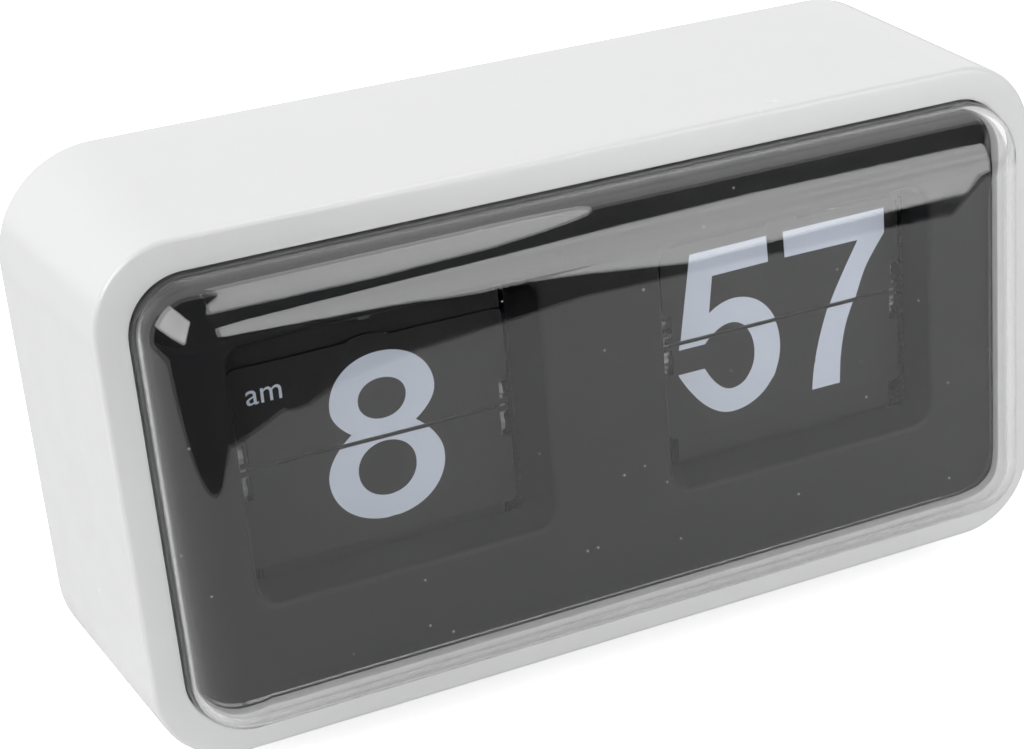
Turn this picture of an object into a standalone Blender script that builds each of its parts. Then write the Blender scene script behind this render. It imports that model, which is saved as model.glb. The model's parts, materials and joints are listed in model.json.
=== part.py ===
"""Table clock with falling leaves: a white housing, a domed clear lens, and an hour
and a minute drum that a small battery motor turns.

Metres, +Z up. The clock faces -Y. Inside the functions a place is given as
(x, depth, height): depth runs back from the front face, height up from the middle
of the housing."""

import math

import bmesh
import bpy
from mathutils import Vector

# Clearances
GAP = 0.0003
RUN = 0.0003
OVERRUN = 0.0005
WELD = 0.000001

# Housing: a shell that widens a little towards its open back
FRONT_WIDTH = 0.201
FRONT_HEIGHT = 0.106
HOUSING_DEPTH = 0.059
FLARE = 0.0044
FRONT_CORNER = 0.0167
REAR_CORNER = 0.022
FRONT_ROUND = 0.001
SIDE_WALL = 0.0025
FRONT_WALL = 0.003
BEZEL_SIDE = 0.0064
BEZEL_END = 0.0066
OPENING_CORNER = 0.0115

# Lens
LENS_WALL = 0.0018
LENS_BULGE = 0.0135
LENS_STRAIGHT = 0.0006
LENS_CROWN = 0.0009
LENS_FLANGE = 0.003
LENS_FLANGE_THICK = 0.0016
LENS_FRONT_CORNER = 0.003
LENS_CORNER_SHARE = 0.72
CROWN_SHARES = (0.75, 0.5, 0.25)

# Face plate and its two windows
PLATE_DEPTH = 0.003
PLATE_BACK = 0.0022
CLAMP_THICK = 0.0014
WINDOW_MARGIN = 0.006
WINDOW_SHIFT = 0.0012
WINDOW_HEIGHT_SHARE = 3.04
WINDOW_RISE_SHARE = 0.1143
WINDOW_CORNER = 0.0042
WINDOW_ROUND = 0.0012
MOUTH_SINK = 0.00005
SLEEVE_WALL = 0.0011
SLEEVE_GAP = 0.0005
SLEEVE_OUTER_GAP = 0.0017
SLEEVE_DROP = 0.0017
SLEEVE_REACH = 0.0016

# Leaves
LEAF_THICK = 0.0004
LEAF_PLANE_SHARE = 0.2034
LEAF_INNER_ROOM = 0.0017
LEAF_OUTER_ROOM = 0.0028
LEAF_CORNER = 0.0016
LEAF_NOTCH = 0.002
LEAF_NOTCH_HEIGHT = 0.0065
LEAF_ROOT_ABOVE = 0.0007
LEAF_ROOT_BELOW = 0.0002
LEAF_STEP = 0.0007
LEAF_PIN = 0.0011
LEAF_TAB_WIDTH = 0.008
LEAF_TAB_RISE = 0.0011
HOUR_LEAF_SHARE = 1.2114
MINUTE_LEAF_SHARE = 1.21
HOUR_LEAVES = 24
MINUTE_LEAVES = 60
MINUTE_RISE_SHARE = 0.2114

# Drums, made to the size that the housing's height and depth leave
PIN_CIRCLE_HEIGHT_SHARE = 0.1651
PIN_CIRCLE_DEPTH_SHARE = 0.2966
DISC_THICK = 0.0012
DISC_NOTCH = 0.0009
DISC_TOOTH_SHARES = (0.0, 0.45)
DISC_NOTCH_SHARES = (0.6, 0.85)
CORE_SHARE = 0.846
CORE_WALL = 0.0016
CORE_WEB = 0.0016
PACK_RING = 0.0013
AXLE_SHARE = 0.0857
AXLE_END = 0.0006

# Chassis
PLATE_THICK = 0.0015
SIDE_ROOM = 0.023
INNER_PLATE_X = 0.0145
SIDE_PLATE_SETBACK = 0.0022
SIDE_PLATE_BACK_SHARE = 1.28
SIDE_PLATE_TOP_SHARE = 1.8
SIDE_PLATE_CORNER = 0.008
FLOOR_SHARE = 2.2
FLOOR_THICK = 0.0016
TRAY_ROOM = 0.0006
LEG_WIDTH = 0.008
BAR_THICK = 0.0014
BAR_DEPTH = 0.010
CATCH_WIDTH = 0.0034
CATCH_TIP_WIDTH = 0.0024
CATCH_THICK = 0.0005
CATCH_CLEAR = 0.0004
CATCH_LAP = 0.0008

# Gears
DRIVE_MODULE_SHARE = 0.02857
IDLER_MODULE_SHARE = 0.02571
HOUR_MODULE_SHARE = 0.02971
DRIVE_TEETH = 60
SMALL_TEETH = 12
IDLER_TEETH = 72
HOUR_GEAR_TEETH = 48
SETTING_TEETH = 30
GEAR_THICK = 0.002
PINION_THICK = 0.003
FOOT_SHARE = 0.26
TIP_SHARE = 0.12
RISE_SHARE = 0.78
ROOT_SHARE = 1.15
DRIVE_GEAR_ROOM = 0.001
HOUR_GEAR_ROOM = 0.001
IDLER_WHEEL_ROOM = 0.0065
HUB_SHARE = 0.183
HUB_LENGTH = 0.0016

# Motor and setting wheel
MOTOR_SHARE = 0.6857
MOTOR_LENGTH = 0.0105
MOTOR_ANGLE = -90.0
MOTOR_CAP_SHARE = 0.24
MOTOR_CAP_LENGTH = 0.0012
POST_RADIUS = 0.0016
POST_SPREAD_SHARE = 0.4
WHEEL_ANGLE = 35.6
WHEEL_WIDTH = 0.005
WHEEL_RIBS = 32
WHEEL_RIB_HEIGHT = 0.0005
WHEEL_RIB_SHARES = (0.0, 0.45)
WHEEL_GROOVE_SHARES = (0.55, 0.9)
WHEEL_PROUD = 0.0018
EAR_THICK = 0.002
EAR_HEIGHT = 0.007

# Rear cover, door, screws and feet
COVER_INSET = 0.0005
COVER_THICK = 0.002
COVER_SKIRT = 0.004
COVER_SKIRT_WALL = 0.0016
DOOR_WIDTH = 0.064
DOOR_HEIGHT = 0.019
DOOR_CORNER = 0.002
DOOR_THICK = 0.0014
DOOR_LEDGE = 0.0016
DOOR_GRIP_WIDTH = 0.012
DOOR_GRIP_HEIGHT = 0.0035
DOOR_GRIP_DEEP = 0.0007
BOSS_RADIUS = 0.0036
BOSS_PILOT = 0.0011
BOSS_PILOT_DEEP = 0.012
BOSS_FRONT = 0.012
BOSS_IN = 0.0102
BOSS_RIB = 0.002
SCREW_RADIUS = 0.0009
SCREW_LENGTH = 0.010
SCREW_HEAD_RADIUS = 0.0026
SCREW_HEAD_THICK = 0.001
SCREW_SLOT = 0.0008
SCREW_SLOT_DEEP = 0.0005
SCREW_SLOT_LONG = 0.0038
FOOT_RADIUS = 0.005
FOOT_REAR_LIFT = 0.001
FOOT_SIDE_IN = 0.0225
FOOT_FRONT = 0.017
FOOT_REAR_IN = 0.0095
FOOT_ROUND = 0.0006

# Battery
CELL_RADIUS = 0.00715
CELL_LENGTH = 0.0492
CELL_CAP_RADIUS = 0.0027
CELL_CAP_LENGTH = 0.0012
TRAY_WALL = 0.0012
TRAY_END = 0.0035
CELL_RISE = 0.0105
CONTACT_THICK = 0.0004
CONTACT_SIZE = 0.009
SPRING_RADIUS = 0.0036
SPRING_TIP_RADIUS = 0.0022
SPRING_WIRE = 0.0004
SPRING_TURNS = 3

WINDOW_STEPS = 5
MOUTH_STEPS = 3
PACK_STEPS = 22
PARALLEL = 1e-9
CORNER_STEPS = 7
ROUND_STEPS = 4
DOME_STEPS = 6

WHITE = (0.86, 0.865, 0.86)
CLEAR = (0.9, 0.93, 0.93)
BLACK = (0.022, 0.022, 0.023)
LEAF_BLACK = (0.035, 0.035, 0.036)
DARK = (0.05, 0.05, 0.052)
PALE = (0.5, 0.51, 0.51)
STEEL = (0.62, 0.62, 0.63)
BRASS = (0.72, 0.55, 0.25)
NYLON = (0.82, 0.8, 0.74)
RUBBER = (0.06, 0.06, 0.06)

TOTAL_DEPTH = LENS_BULGE + HOUSING_DEPTH + WHEEL_PROUD
FRONT_Y = LENS_BULGE - TOTAL_DEPTH / 2
CENTRE_Z = FRONT_HEIGHT / 2 + FLARE + FOOT_REAR_LIFT
OPENING_WIDTH = FRONT_WIDTH - 2 * BEZEL_SIDE
OPENING_HEIGHT = FRONT_HEIGHT - 2 * BEZEL_END
PIN_CIRCLE = min(
    PIN_CIRCLE_HEIGHT_SHARE * FRONT_HEIGHT, PIN_CIRCLE_DEPTH_SHARE * HOUSING_DEPTH
)
LEAF_PLANE = LEAF_PLANE_SHARE * HOUSING_DEPTH
HOUR_LEAF = HOUR_LEAF_SHARE * PIN_CIRCLE
MINUTE_LEAF = MINUTE_LEAF_SHARE * PIN_CIRCLE
MINUTE_RISE = MINUTE_RISE_SHARE * PIN_CIRCLE
DRUM_DEPTH = LEAF_PLANE + PIN_CIRCLE
CORE_RADIUS = CORE_SHARE * PIN_CIRCLE
SIDE_PLATE_X = FRONT_WIDTH / 2 - SIDE_ROOM
LEAF_INNER = INNER_PLATE_X + PLATE_THICK + LEAF_INNER_ROOM
LEAF_OUTER = SIDE_PLATE_X - LEAF_OUTER_ROOM
LEAF_OFFSET = (LEAF_INNER + LEAF_OUTER) / 2
LEAF_WIDTH = LEAF_OUTER - LEAF_INNER
SLEEVE_END = LEAF_PLANE + LEAF_THICK / 2 - CATCH_THICK - GAP
WINDOW_WIDTH = LEAF_WIDTH + WINDOW_MARGIN
WINDOW_OFFSET = LEAF_OFFSET - WINDOW_SHIFT
WINDOW_HEIGHT = WINDOW_HEIGHT_SHARE * PIN_CIRCLE
WINDOW_RISE = WINDOW_RISE_SHARE * PIN_CIRCLE
SIDE_PLATE_FRONT = LEAF_PLANE + SIDE_PLATE_SETBACK
SIDE_PLATE_BACK = DRUM_DEPTH + SIDE_PLATE_BACK_SHARE * PIN_CIRCLE
SIDE_PLATE_TOP = SIDE_PLATE_TOP_SHARE * PIN_CIRCLE
FLOOR_TOP = -FLOOR_SHARE * PIN_CIRCLE
DRIVE_MODULE = DRIVE_MODULE_SHARE * PIN_CIRCLE
IDLER_MODULE = IDLER_MODULE_SHARE * PIN_CIRCLE
HOUR_MODULE = HOUR_MODULE_SHARE * PIN_CIRCLE
DRIVE_GEAR_X = SIDE_PLATE_X + PLATE_THICK + DRIVE_GEAR_ROOM
HOUR_GEAR_X = HOUR_GEAR_ROOM - INNER_PLATE_X
IDLER_WHEEL_X = INNER_PLATE_X - IDLER_WHEEL_ROOM
MOTOR_RADIUS = MOTOR_SHARE * PIN_CIRCLE
POST_SPREAD = POST_SPREAD_SHARE * PIN_CIRCLE
AXLE_RADIUS = AXLE_SHARE * PIN_CIRCLE
HUB_RADIUS = HUB_SHARE * PIN_CIRCLE
MOTOR_CAP_RADIUS = MOTOR_CAP_SHARE * PIN_CIRCLE
FOOT_SIDE = FRONT_WIDTH / 2 - FOOT_SIDE_IN
FOOT_REAR = HOUSING_DEPTH - FOOT_REAR_IN
CELL_HEIGHT = CELL_RISE - FRONT_HEIGHT / 2
DISC_RADIUS = PIN_CIRCLE - LEAF_STEP - LEAF_THICK / 2 - RUN
NARROW_WIDTH = LEAF_WIDTH - 2 * LEAF_NOTCH
COVER_BACK = HOUSING_DEPTH - COVER_INSET
COVER_INNER = COVER_BACK - COVER_THICK
WHEEL_REACH = DRIVE_MODULE * (DRIVE_TEETH + SETTING_TEETH) / 2
WHEEL_DEPTH = DRUM_DEPTH + WHEEL_REACH * math.cos(math.radians(WHEEL_ANGLE))
WHEEL_HEIGHT = MINUTE_RISE + WHEEL_REACH * math.sin(math.radians(WHEEL_ANGLE))
WHEEL_RADIUS = HOUSING_DEPTH + WHEEL_PROUD - WHEEL_RIB_HEIGHT - WHEEL_DEPTH
TRAY_REACH = CELL_RADIUS + GAP + TRAY_WALL
TRAY_BACK = COVER_INNER - GAP
CELL_DEPTH = TRAY_BACK - CELL_RADIUS - TRAY_WALL
FLOOR_BACK = CELL_DEPTH - TRAY_REACH - TRAY_ROOM


def at(x, depth, height):
    """The world place of a point given by its depth behind the front face and its height."""
    return Vector((x, FRONT_Y + depth, CENTRE_Z + height))


def clear_scene():
    for obj in list(bpy.data.objects):
        bpy.data.objects.remove(obj, do_unlink=True)


def material(name, colour, roughness, metallic=0.0):
    made = bpy.data.materials.new(name)
    made.use_nodes = True
    shader = made.node_tree.nodes["Principled BSDF"]
    shader.inputs["Base Color"].default_value = (*colour, 1.0)
    shader.inputs["Roughness"].default_value = roughness
    shader.inputs["Metallic"].default_value = metallic
    return made


def add_object(name, bm, colour, roughness=0.4, metallic=0.0, pivot=None, smooth=30.0):
    """Turns a bmesh in world places into an object whose origin is its pivot."""
    bmesh.ops.recalc_face_normals(bm, faces=bm.faces)
    if bm.calc_volume(signed=True) < 0:
        bmesh.ops.reverse_faces(bm, faces=bm.faces)
    origin = pivot if pivot is not None else Vector((0.0, 0.0, 0.0))
    bmesh.ops.translate(bm, verts=bm.verts, vec=-origin)
    mesh = bpy.data.meshes.new(name)
    bm.to_mesh(mesh)
    bm.free()
    mesh.shade_smooth()
    mesh.set_sharp_from_angle(angle=math.radians(smooth))
    obj = bpy.data.objects.new(name, mesh)
    obj.location = origin
    bpy.context.scene.collection.objects.link(obj)
    obj.data.materials.append(material(name, colour, roughness, metallic))
    return obj


def add_cutter(name, bm):
    """A guide shape that only feeds a Boolean."""
    obj = add_object(name, bm, DARK)
    obj.hide_render = True
    obj.display_type = "WIRE"
    return obj


def boolean(obj, other, operation):
    step = obj.modifiers.new(other.name, "BOOLEAN")
    step.operation = operation
    step.solver = "EXACT"
    step.object = other


def cut(obj, bm, label):
    boolean(obj, add_cutter(f"{obj.name}_{label}", bm), "DIFFERENCE")


def join(obj, bm, label):
    boolean(obj, add_cutter(f"{obj.name}_{label}", bm), "UNION")


def push(bm, rim, edges, points):
    """Extrudes an open loop of edges and moves the new loop onto the points."""
    grown = bmesh.ops.extrude_edge_only(bm, edges=edges)["geom"]
    fresh = [item for item in grown if isinstance(item, bmesh.types.BMVert)]
    moved = {}
    for vert in fresh:
        for edge in vert.link_edges:
            moved[edge.other_vert(vert)] = vert
    rim = [moved[vert] for vert in rim]
    for vert, point in zip(rim, points):
        vert.co = point
    edges = [
        item for item in grown if isinstance(item, bmesh.types.BMEdge) and item.is_boundary
    ]
    return rim, edges


def walk(sections, ring=False):
    """A solid skinned over a list of outlines with the same number of points. It is capped
    at both ends, or joined end to end as a ring."""
    bm = bmesh.new()
    rim = [bm.verts.new(point) for point in sections[0]]
    start = [bm.edges.new((rim[i - 1], rim[i])) for i in range(len(rim))]
    edges = start
    for points in sections[1:] + sections[:1] * ring:
        rim, edges = push(bm, rim, edges, points)
    if ring:
        bmesh.ops.remove_doubles(bm, verts=bm.verts, dist=WELD)
    else:
        bmesh.ops.edgeloop_fill(bm, edges=start)
        bmesh.ops.edgeloop_fill(bm, edges=edges)
    return bm


def rounded(width, height, corner, depth, x=0.0, rise=0.0, steps=CORNER_STEPS):
    """A rectangle with round corners, upright at one depth."""
    points = []
    for quarter, (side, end) in enumerate(((1, 1), (-1, 1), (-1, -1), (1, -1))):
        for step in range(steps + 1):
            angle = math.radians(90 * (quarter + step / steps))
            across = side * (width / 2 - corner) + corner * math.cos(angle)
            up = end * (height / 2 - corner) + corner * math.sin(angle)
            points.append(at(x + across, depth, rise + up))
    return points


def round_outline(radius, steps):
    return [
        (radius * math.cos(2 * math.pi * i / steps), radius * math.sin(2 * math.pi * i / steps))
        for i in range(steps)
    ]


def ribbed_outline(count, shares):
    """A round outline with equal steps, from the (share of a step, radius) pairs of one."""
    outline = []
    for i in range(count):
        for share, radius in shares:
            turn = 2 * math.pi * (i + share) / count
            outline.append((radius * math.cos(turn), radius * math.sin(turn)))
    return outline


def bar(outline, start, end, centre=(0.0, 0.0)):
    """An outline in (depth, height) pushed along x from start to end."""
    points = [(depth + centre[0], height + centre[1]) for depth, height in outline]
    return walk([[at(x, depth, height) for depth, height in points] for x in (start, end)])


def rod(radius, start, end, centre, steps=20):
    return bar(round_outline(radius, steps), start, end, centre)


def turned(profile, centre, steps=24):
    """A solid turned about an x axis, from (x, radius) pairs."""
    return walk([
        [at(x, centre[0] + a, centre[1] + b) for a, b in round_outline(radius, steps)]
        for x, radius in profile
    ])


def post(radius, front, back, x, height, steps=16):
    """A round post that runs from front to back."""
    outline = round_outline(radius, steps)
    return walk([[at(x + a, depth, height + b) for a, b in outline] for depth in (front, back)])


def block(low, high):
    """A box between two (x, depth, height) corners."""
    outline = ((low[1], low[2]), (high[1], low[2]), (high[1], high[2]), (low[1], high[2]))
    return bar(outline, low[0], high[0])


def slab(outline, front, back):
    """An outline in (x, height) pushed from front to back."""
    return walk([[at(x, depth, height) for x, height in outline] for depth in (front, back)])


def arc(centre, radius, start, end, steps):
    """Points on an arc in a plane, with angles in degrees from the first axis."""
    return [
        (
            centre[0] + radius * math.cos(math.radians(start + (end - start) * i / steps)),
            centre[1] + radius * math.sin(math.radians(start + (end - start) * i / steps)),
        )
        for i in range(steps + 1)
    ]


def housing_size(depth):
    """Outer width, height and corner of the housing at a depth behind its rounded edge."""
    share = (depth - FRONT_ROUND) / (HOUSING_DEPTH - FRONT_ROUND)
    grown = 2 * FLARE * share
    corner = FRONT_CORNER + (REAR_CORNER - FRONT_CORNER) * share
    return FRONT_WIDTH + grown, FRONT_HEIGHT + grown, corner


def inner_size(depth, wall):
    width, height, corner = housing_size(depth)
    return width - 2 * wall, height - 2 * wall, corner - wall


def boss_centres():
    """Where the four rear screws go, as (x, height), near the corners."""
    width, height, _ = inner_size(HOUSING_DEPTH, SIDE_WALL)
    return [
        (side * (width / 2 - BOSS_IN), end * (height / 2 - BOSS_IN))
        for side in (-1, 1)
        for end in (-1, 1)
    ]


def boss_rib(x, height, side, end):
    """A thin rib that ties a screw boss to the housing's slanting side wall."""
    back = COVER_INNER - COVER_SKIRT - GAP
    points = []
    for depth in (BOSS_FRONT, back):
        width, tall, corner = housing_size(depth)
        above = max(abs(height) - tall / 2 + corner, 0.0)
        reach = width / 2 - corner + math.sqrt(corner**2 - above**2)
        points.append((side * (reach - SIDE_WALL / 2), depth))
    outline = [(x, BOSS_FRONT), points[0], points[1], (x, back)]
    low, high = height - BOSS_RIB / 2, height + BOSS_RIB / 2
    return walk([[at(a, depth, level) for a, depth in outline] for level in (low, high)])


def make_housing():
    sections = [rounded(OPENING_WIDTH, OPENING_HEIGHT, OPENING_CORNER, 0.0)]
    for step in range(ROUND_STEPS + 1):
        turn = math.radians(90 * step / ROUND_STEPS)
        inset = FRONT_ROUND * (1 - math.sin(turn))
        depth = FRONT_ROUND * (1 - math.cos(turn))
        sections.append(rounded(
            FRONT_WIDTH - 2 * inset, FRONT_HEIGHT - 2 * inset, FRONT_CORNER - inset, depth
        ))
    sections.append(rounded(*housing_size(HOUSING_DEPTH), HOUSING_DEPTH))
    sections.append(rounded(*inner_size(HOUSING_DEPTH, SIDE_WALL), HOUSING_DEPTH))
    sections.append(rounded(*inner_size(FRONT_WALL, SIDE_WALL), FRONT_WALL))
    sections.append(rounded(OPENING_WIDTH, OPENING_HEIGHT, OPENING_CORNER, FRONT_WALL))
    housing = add_object("housing", walk(sections, ring=True), WHITE, 0.32)
    for i, (x, height) in enumerate(boss_centres()):
        side, end = math.copysign(1, x), math.copysign(1, height)
        join(housing, boss_rib(x, height, side, end), f"rib_{i}")
        join(housing, post(BOSS_RADIUS, BOSS_FRONT, COVER_INNER - GAP, x, height), f"boss_{i}")
        pilot = post(
            BOSS_PILOT, COVER_INNER - BOSS_PILOT_DEEP, COVER_INNER + OVERRUN, x, height, 12
        )
        cut(housing, pilot, f"pilot_{i}")
    return housing


def dome(offset):
    """Sections of the lens from its flange to the middle of its front, moved inwards by
    offset for the inner skin."""
    width = OPENING_WIDTH - 2 * GAP - 2 * offset
    height = OPENING_HEIGHT - 2 * GAP - 2 * offset
    corner = OPENING_CORNER - GAP - offset
    rise = LENS_BULGE - LENS_CROWN - offset - LENS_STRAIGHT
    sections = [rounded(width, height, corner, FRONT_WALL + GAP)]
    for step in range(DOME_STEPS + 1):
        turn = math.radians(90 * step / DOME_STEPS)
        inset = rise * (1 - math.cos(turn))
        depth = -LENS_STRAIGHT - rise * math.sin(turn)
        tight = max(corner - LENS_CORNER_SHARE * inset, LENS_FRONT_CORNER)
        sections.append(rounded(width - 2 * inset, height - 2 * inset, tight, depth))
    flat_width, flat_height = width - 2 * rise, height - 2 * rise
    last = CROWN_SHARES[-1]
    for share in CROWN_SHARES:
        depth = -LENS_STRAIGHT - rise - LENS_CROWN * (1 - share**2) / (1 - last**2)
        gone = flat_height * (1 - share)
        sections.append(rounded(
            flat_width - gone, flat_height - gone, LENS_FRONT_CORNER, depth
        ))
    return sections


def make_lens():
    outer = dome(0.0)
    inner = dome(LENS_WALL)
    flange_width = OPENING_WIDTH + 2 * LENS_FLANGE
    flange_height = OPENING_HEIGHT + 2 * LENS_FLANGE
    flange_corner = OPENING_CORNER + LENS_FLANGE
    front = FRONT_WALL + GAP
    back = front + LENS_FLANGE_THICK
    sections = outer[::-1]
    for depth in (front, back):
        sections.append(rounded(flange_width, flange_height, flange_corner, depth))
    for point in inner[0]:
        point.y = FRONT_Y + back
    sections.extend(inner)
    return add_object("front_lens", walk(sections), CLEAR, 0.05)


def window_inner(side):
    """Width, height, middle and rise of a window at its narrow back end."""
    width = LEAF_WIDTH + SLEEVE_GAP + SLEEVE_OUTER_GAP
    middle = LEAF_OFFSET + (SLEEVE_OUTER_GAP - SLEEVE_GAP) / 2
    low = min(-HOUR_LEAF, MINUTE_RISE - MINUTE_LEAF) - SLEEVE_REACH
    high = WINDOW_RISE + WINDOW_HEIGHT / 2 - SLEEVE_DROP
    return width, high - low, side * middle, (high + low) / 2


def window_ring(side, grown, depth):
    """Outline of a window at a depth, on its way from the mouth to the narrow back end."""
    share = (depth - PLATE_DEPTH) / (SLEEVE_END - PLATE_DEPTH)
    mouth = (WINDOW_WIDTH, WINDOW_HEIGHT, side * WINDOW_OFFSET, WINDOW_RISE)
    width, height, x, rise = (a + (b - a) * share for a, b in zip(mouth, window_inner(side)))
    corner = WINDOW_CORNER * (1 - share / 2) + grown
    size = (width + 2 * grown, height + 2 * grown)
    return rounded(*size, corner, depth, x, rise, WINDOW_STEPS)


def window_mouth(side):
    """The rounded lip of a window, as a cutter."""
    rings = [window_ring(side, WINDOW_ROUND, PLATE_DEPTH - OVERRUN)]
    for step in range(1, MOUTH_STEPS + 1):
        turn = math.radians(90 * step / MOUTH_STEPS)
        grown = WINDOW_ROUND * (1 - math.sin(turn)) - MOUTH_SINK
        depth = PLATE_DEPTH + WINDOW_ROUND * (1 - math.cos(turn))
        rings.append(window_ring(side, grown, depth))
    return walk(rings)


def make_face_plate():
    width = OPENING_WIDTH - 2 * (LENS_WALL + 2 * GAP)
    height = OPENING_HEIGHT - 2 * (LENS_WALL + 2 * GAP)
    corner = OPENING_CORNER - LENS_WALL - 2 * GAP
    clamp = PLATE_DEPTH + PLATE_BACK
    wide, tall = OPENING_WIDTH + 2 * LENS_FLANGE, OPENING_HEIGHT + 2 * LENS_FLANGE
    sections = [rounded(width, height, corner, depth) for depth in (PLATE_DEPTH, clamp)]
    for depth in (clamp, clamp + CLAMP_THICK):
        sections.append(rounded(wide, tall, OPENING_CORNER + LENS_FLANGE, depth))
    plate = add_object("face_plate", walk(sections), BLACK, 0.45)
    for side, label in ((-1, "hour"), (1, "minute")):
        start = clamp - PLATE_BACK / 2
        tube = [window_ring(side, SLEEVE_WALL, depth) for depth in (start, SLEEVE_END)]
        join(plate, walk(tube), f"{label}_sleeve")
        ends = (PLATE_DEPTH - OVERRUN, SLEEVE_END + OVERRUN)
        way = [window_ring(side, 0.0, depth) for depth in ends]
        cut(plate, walk(way), f"{label}_window")
        cut(plate, window_mouth(side), f"{label}_mouth")
    return plate


def leaf_outline(length, up):
    """One leaf from its split edge to its free edge, with hinge tabs, side notches and
    the small raised tab that the catch holds. up is 1, or -1 for a fallen leaf."""
    root = LEAF_ROOT_ABOVE if up > 0 else LEAF_ROOT_BELOW
    wide, narrow, pin = LEAF_WIDTH / 2, NARROW_WIDTH / 2, NARROW_WIDTH / 2 + LEAF_NOTCH - GAP
    half = [(narrow, root), (pin, root), (pin, root + LEAF_PIN), (narrow, root + LEAF_PIN)]
    half += [(narrow, LEAF_NOTCH_HEIGHT), (wide, LEAF_NOTCH_HEIGHT)]
    half += arc((wide - LEAF_CORNER, length - LEAF_CORNER), LEAF_CORNER, 0, 90, 3)
    half += [
        (LEAF_TAB_WIDTH / 2 * math.cos(turn), length + LEAF_TAB_RISE * math.sin(turn))
        for turn in (0.0, math.pi / 6, math.pi / 3, math.pi / 2)
    ]
    whole = half + [(-x, h) for x, h in half[-2::-1]]
    return [(x, up * h) for x, h in whole]


def make_leaf(name, length, x, rise, plane, up, shift=0.0, pivot=None):
    outline = [(x + a, rise + shift + h) for a, h in leaf_outline(length, up)]
    bm = slab(outline, plane - LEAF_THICK / 2, plane + LEAF_THICK / 2)
    return add_object(name, bm, LEAF_BLACK, 0.5, pivot=pivot)


def crossing(first, second):
    """Where two lines meet, each a (point, direction), as a distance along the first."""
    (ax, ay), (ux, uy) = first
    (bx, by), (vx, vy) = second
    cross = ux * vy - uy * vx
    if abs(cross) < PARALLEL:
        return math.inf
    return ((bx - ax) * vy - (by - ay) * vx) / cross


def blade(angle):
    """Root, direction and outer side of one resting leaf. angle is its place on the drum,
    in degrees from the front, up and over. Leaves lie along the drum on their way over
    the top and down the back, and hang straight down below that."""
    turn = math.radians(angle)
    root = (-PIN_CIRCLE * math.cos(turn), PIN_CIRCLE * math.sin(turn))
    lean = min(turn, math.pi)
    along = (math.sin(lean), math.cos(lean))
    side = (-math.cos(lean), math.sin(lean))
    return root, along, side


def pack_outline(leaves, length, skip):
    """The saw-toothed side view of all the leaves that rest on the drum."""
    step = 360 / leaves
    blades = [blade(k * step) for k in range(skip, leaves - skip + 1)]
    half = LEAF_THICK / 2
    inner = PIN_CIRCLE - PACK_RING
    outline = []
    for i, (root, along, side) in enumerate(blades):
        outer_root = (root[0] + side[0] * half, root[1] + side[1] * half)
        inner_root = (root[0] - side[0] * half, root[1] - side[1] * half)
        if i == 0:
            outline.append(outer_root)
        for start in (outer_root, inner_root):
            outline.append((start[0] + along[0] * length, start[1] + along[1] * length))
        if i == len(blades) - 1:
            outline.append(inner_root)
            continue
        next_root, next_along, next_side = blades[i + 1]
        next_outer = (next_root[0] + next_side[0] * half, next_root[1] + next_side[1] * half)
        reach = crossing((inner_root, along), (next_outer, next_along))
        if 0 < reach < length:
            outline.append((inner_root[0] + along[0] * reach, inner_root[1] + along[1] * reach))
        elif next_outer[0] < inner_root[0] - GAP:
            outline.append(inner_root)
            outline.append(next_outer)
    first, last = math.radians(skip * step), math.radians(360 - skip * step)
    for i in range(PACK_STEPS + 1):
        turn = last + (first - last) * i / PACK_STEPS
        outline.append((-inner * math.cos(turn), inner * math.sin(turn)))
    return outline


def make_pack(name, leaves, length, x, rise, skip):
    """The other leaves of one drum, at rest around it."""
    width = NARROW_WIDTH - 2 * GAP
    outline = pack_outline(leaves, length - LEAF_PIN, skip)
    bm = bar(outline, x - width / 2, x + width / 2, (DRUM_DEPTH, rise))
    front = LEAF_PLANE + LEAF_STEP + LEAF_THICK / 2 + GAP
    bmesh.ops.triangulate(bm, faces=bm.faces)
    cut_faces = bm.verts[:] + bm.edges[:] + bm.faces[:]
    bmesh.ops.bisect_plane(
        bm, geom=cut_faces, plane_co=at(0.0, front, 0.0), plane_no=(0, -1, 0), clear_outer=True
    )
    bmesh.ops.holes_fill(bm, edges=[edge for edge in bm.edges if edge.is_boundary])
    return add_object(name, bm, LEAF_BLACK, 0.55)


def make_drum(label, leaves, x, rise):
    """Core and the two notched discs that carry the leaves, all on one axle."""
    centre = (DRUM_DEPTH, rise)
    pivot = at(x, *centre)
    inside = NARROW_WIDTH / 2
    core_end = inside - GAP
    bm = turned([(x - core_end, CORE_RADIUS), (x + core_end, CORE_RADIUS)], centre, 32)
    core = add_object(f"{label}_drum_core", bm, DARK, 0.5, pivot=pivot)
    for side in (-1, 1):
        start, end = x + side * CORE_WEB / 2, x + side * (core_end + OVERRUN)
        hollow = CORE_RADIUS - CORE_WALL
        cut(core, rod(hollow, start, end, centre, 32), f"hollow_{'left' if side < 0 else 'right'}")
    hub = rod(HUB_RADIUS, x - core_end, x + core_end, centre, 16)
    join(core, hub, "hub")
    bore = rod(AXLE_RADIUS + RUN, x - inside, x + inside, centre, 16)
    cut(core, bore, "bore")
    for side, where in ((-1, "left"), (1, "right")):
        shares = [(share, DISC_RADIUS) for share in DISC_TOOTH_SHARES]
        shares += [(share, DISC_RADIUS - DISC_NOTCH) for share in DISC_NOTCH_SHARES]
        outline = ribbed_outline(leaves, shares)
        near = x + side * (inside + GAP)
        far = near + side * DISC_THICK
        disc = add_object(
            f"{label}_disc_{where}", bar(outline, near, far, centre), PALE, 0.5, pivot=pivot
        )
        bore = rod(AXLE_RADIUS + RUN, near - side * OVERRUN, far + side * OVERRUN, centre, 16)
        cut(disc, bore, "bore")


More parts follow.
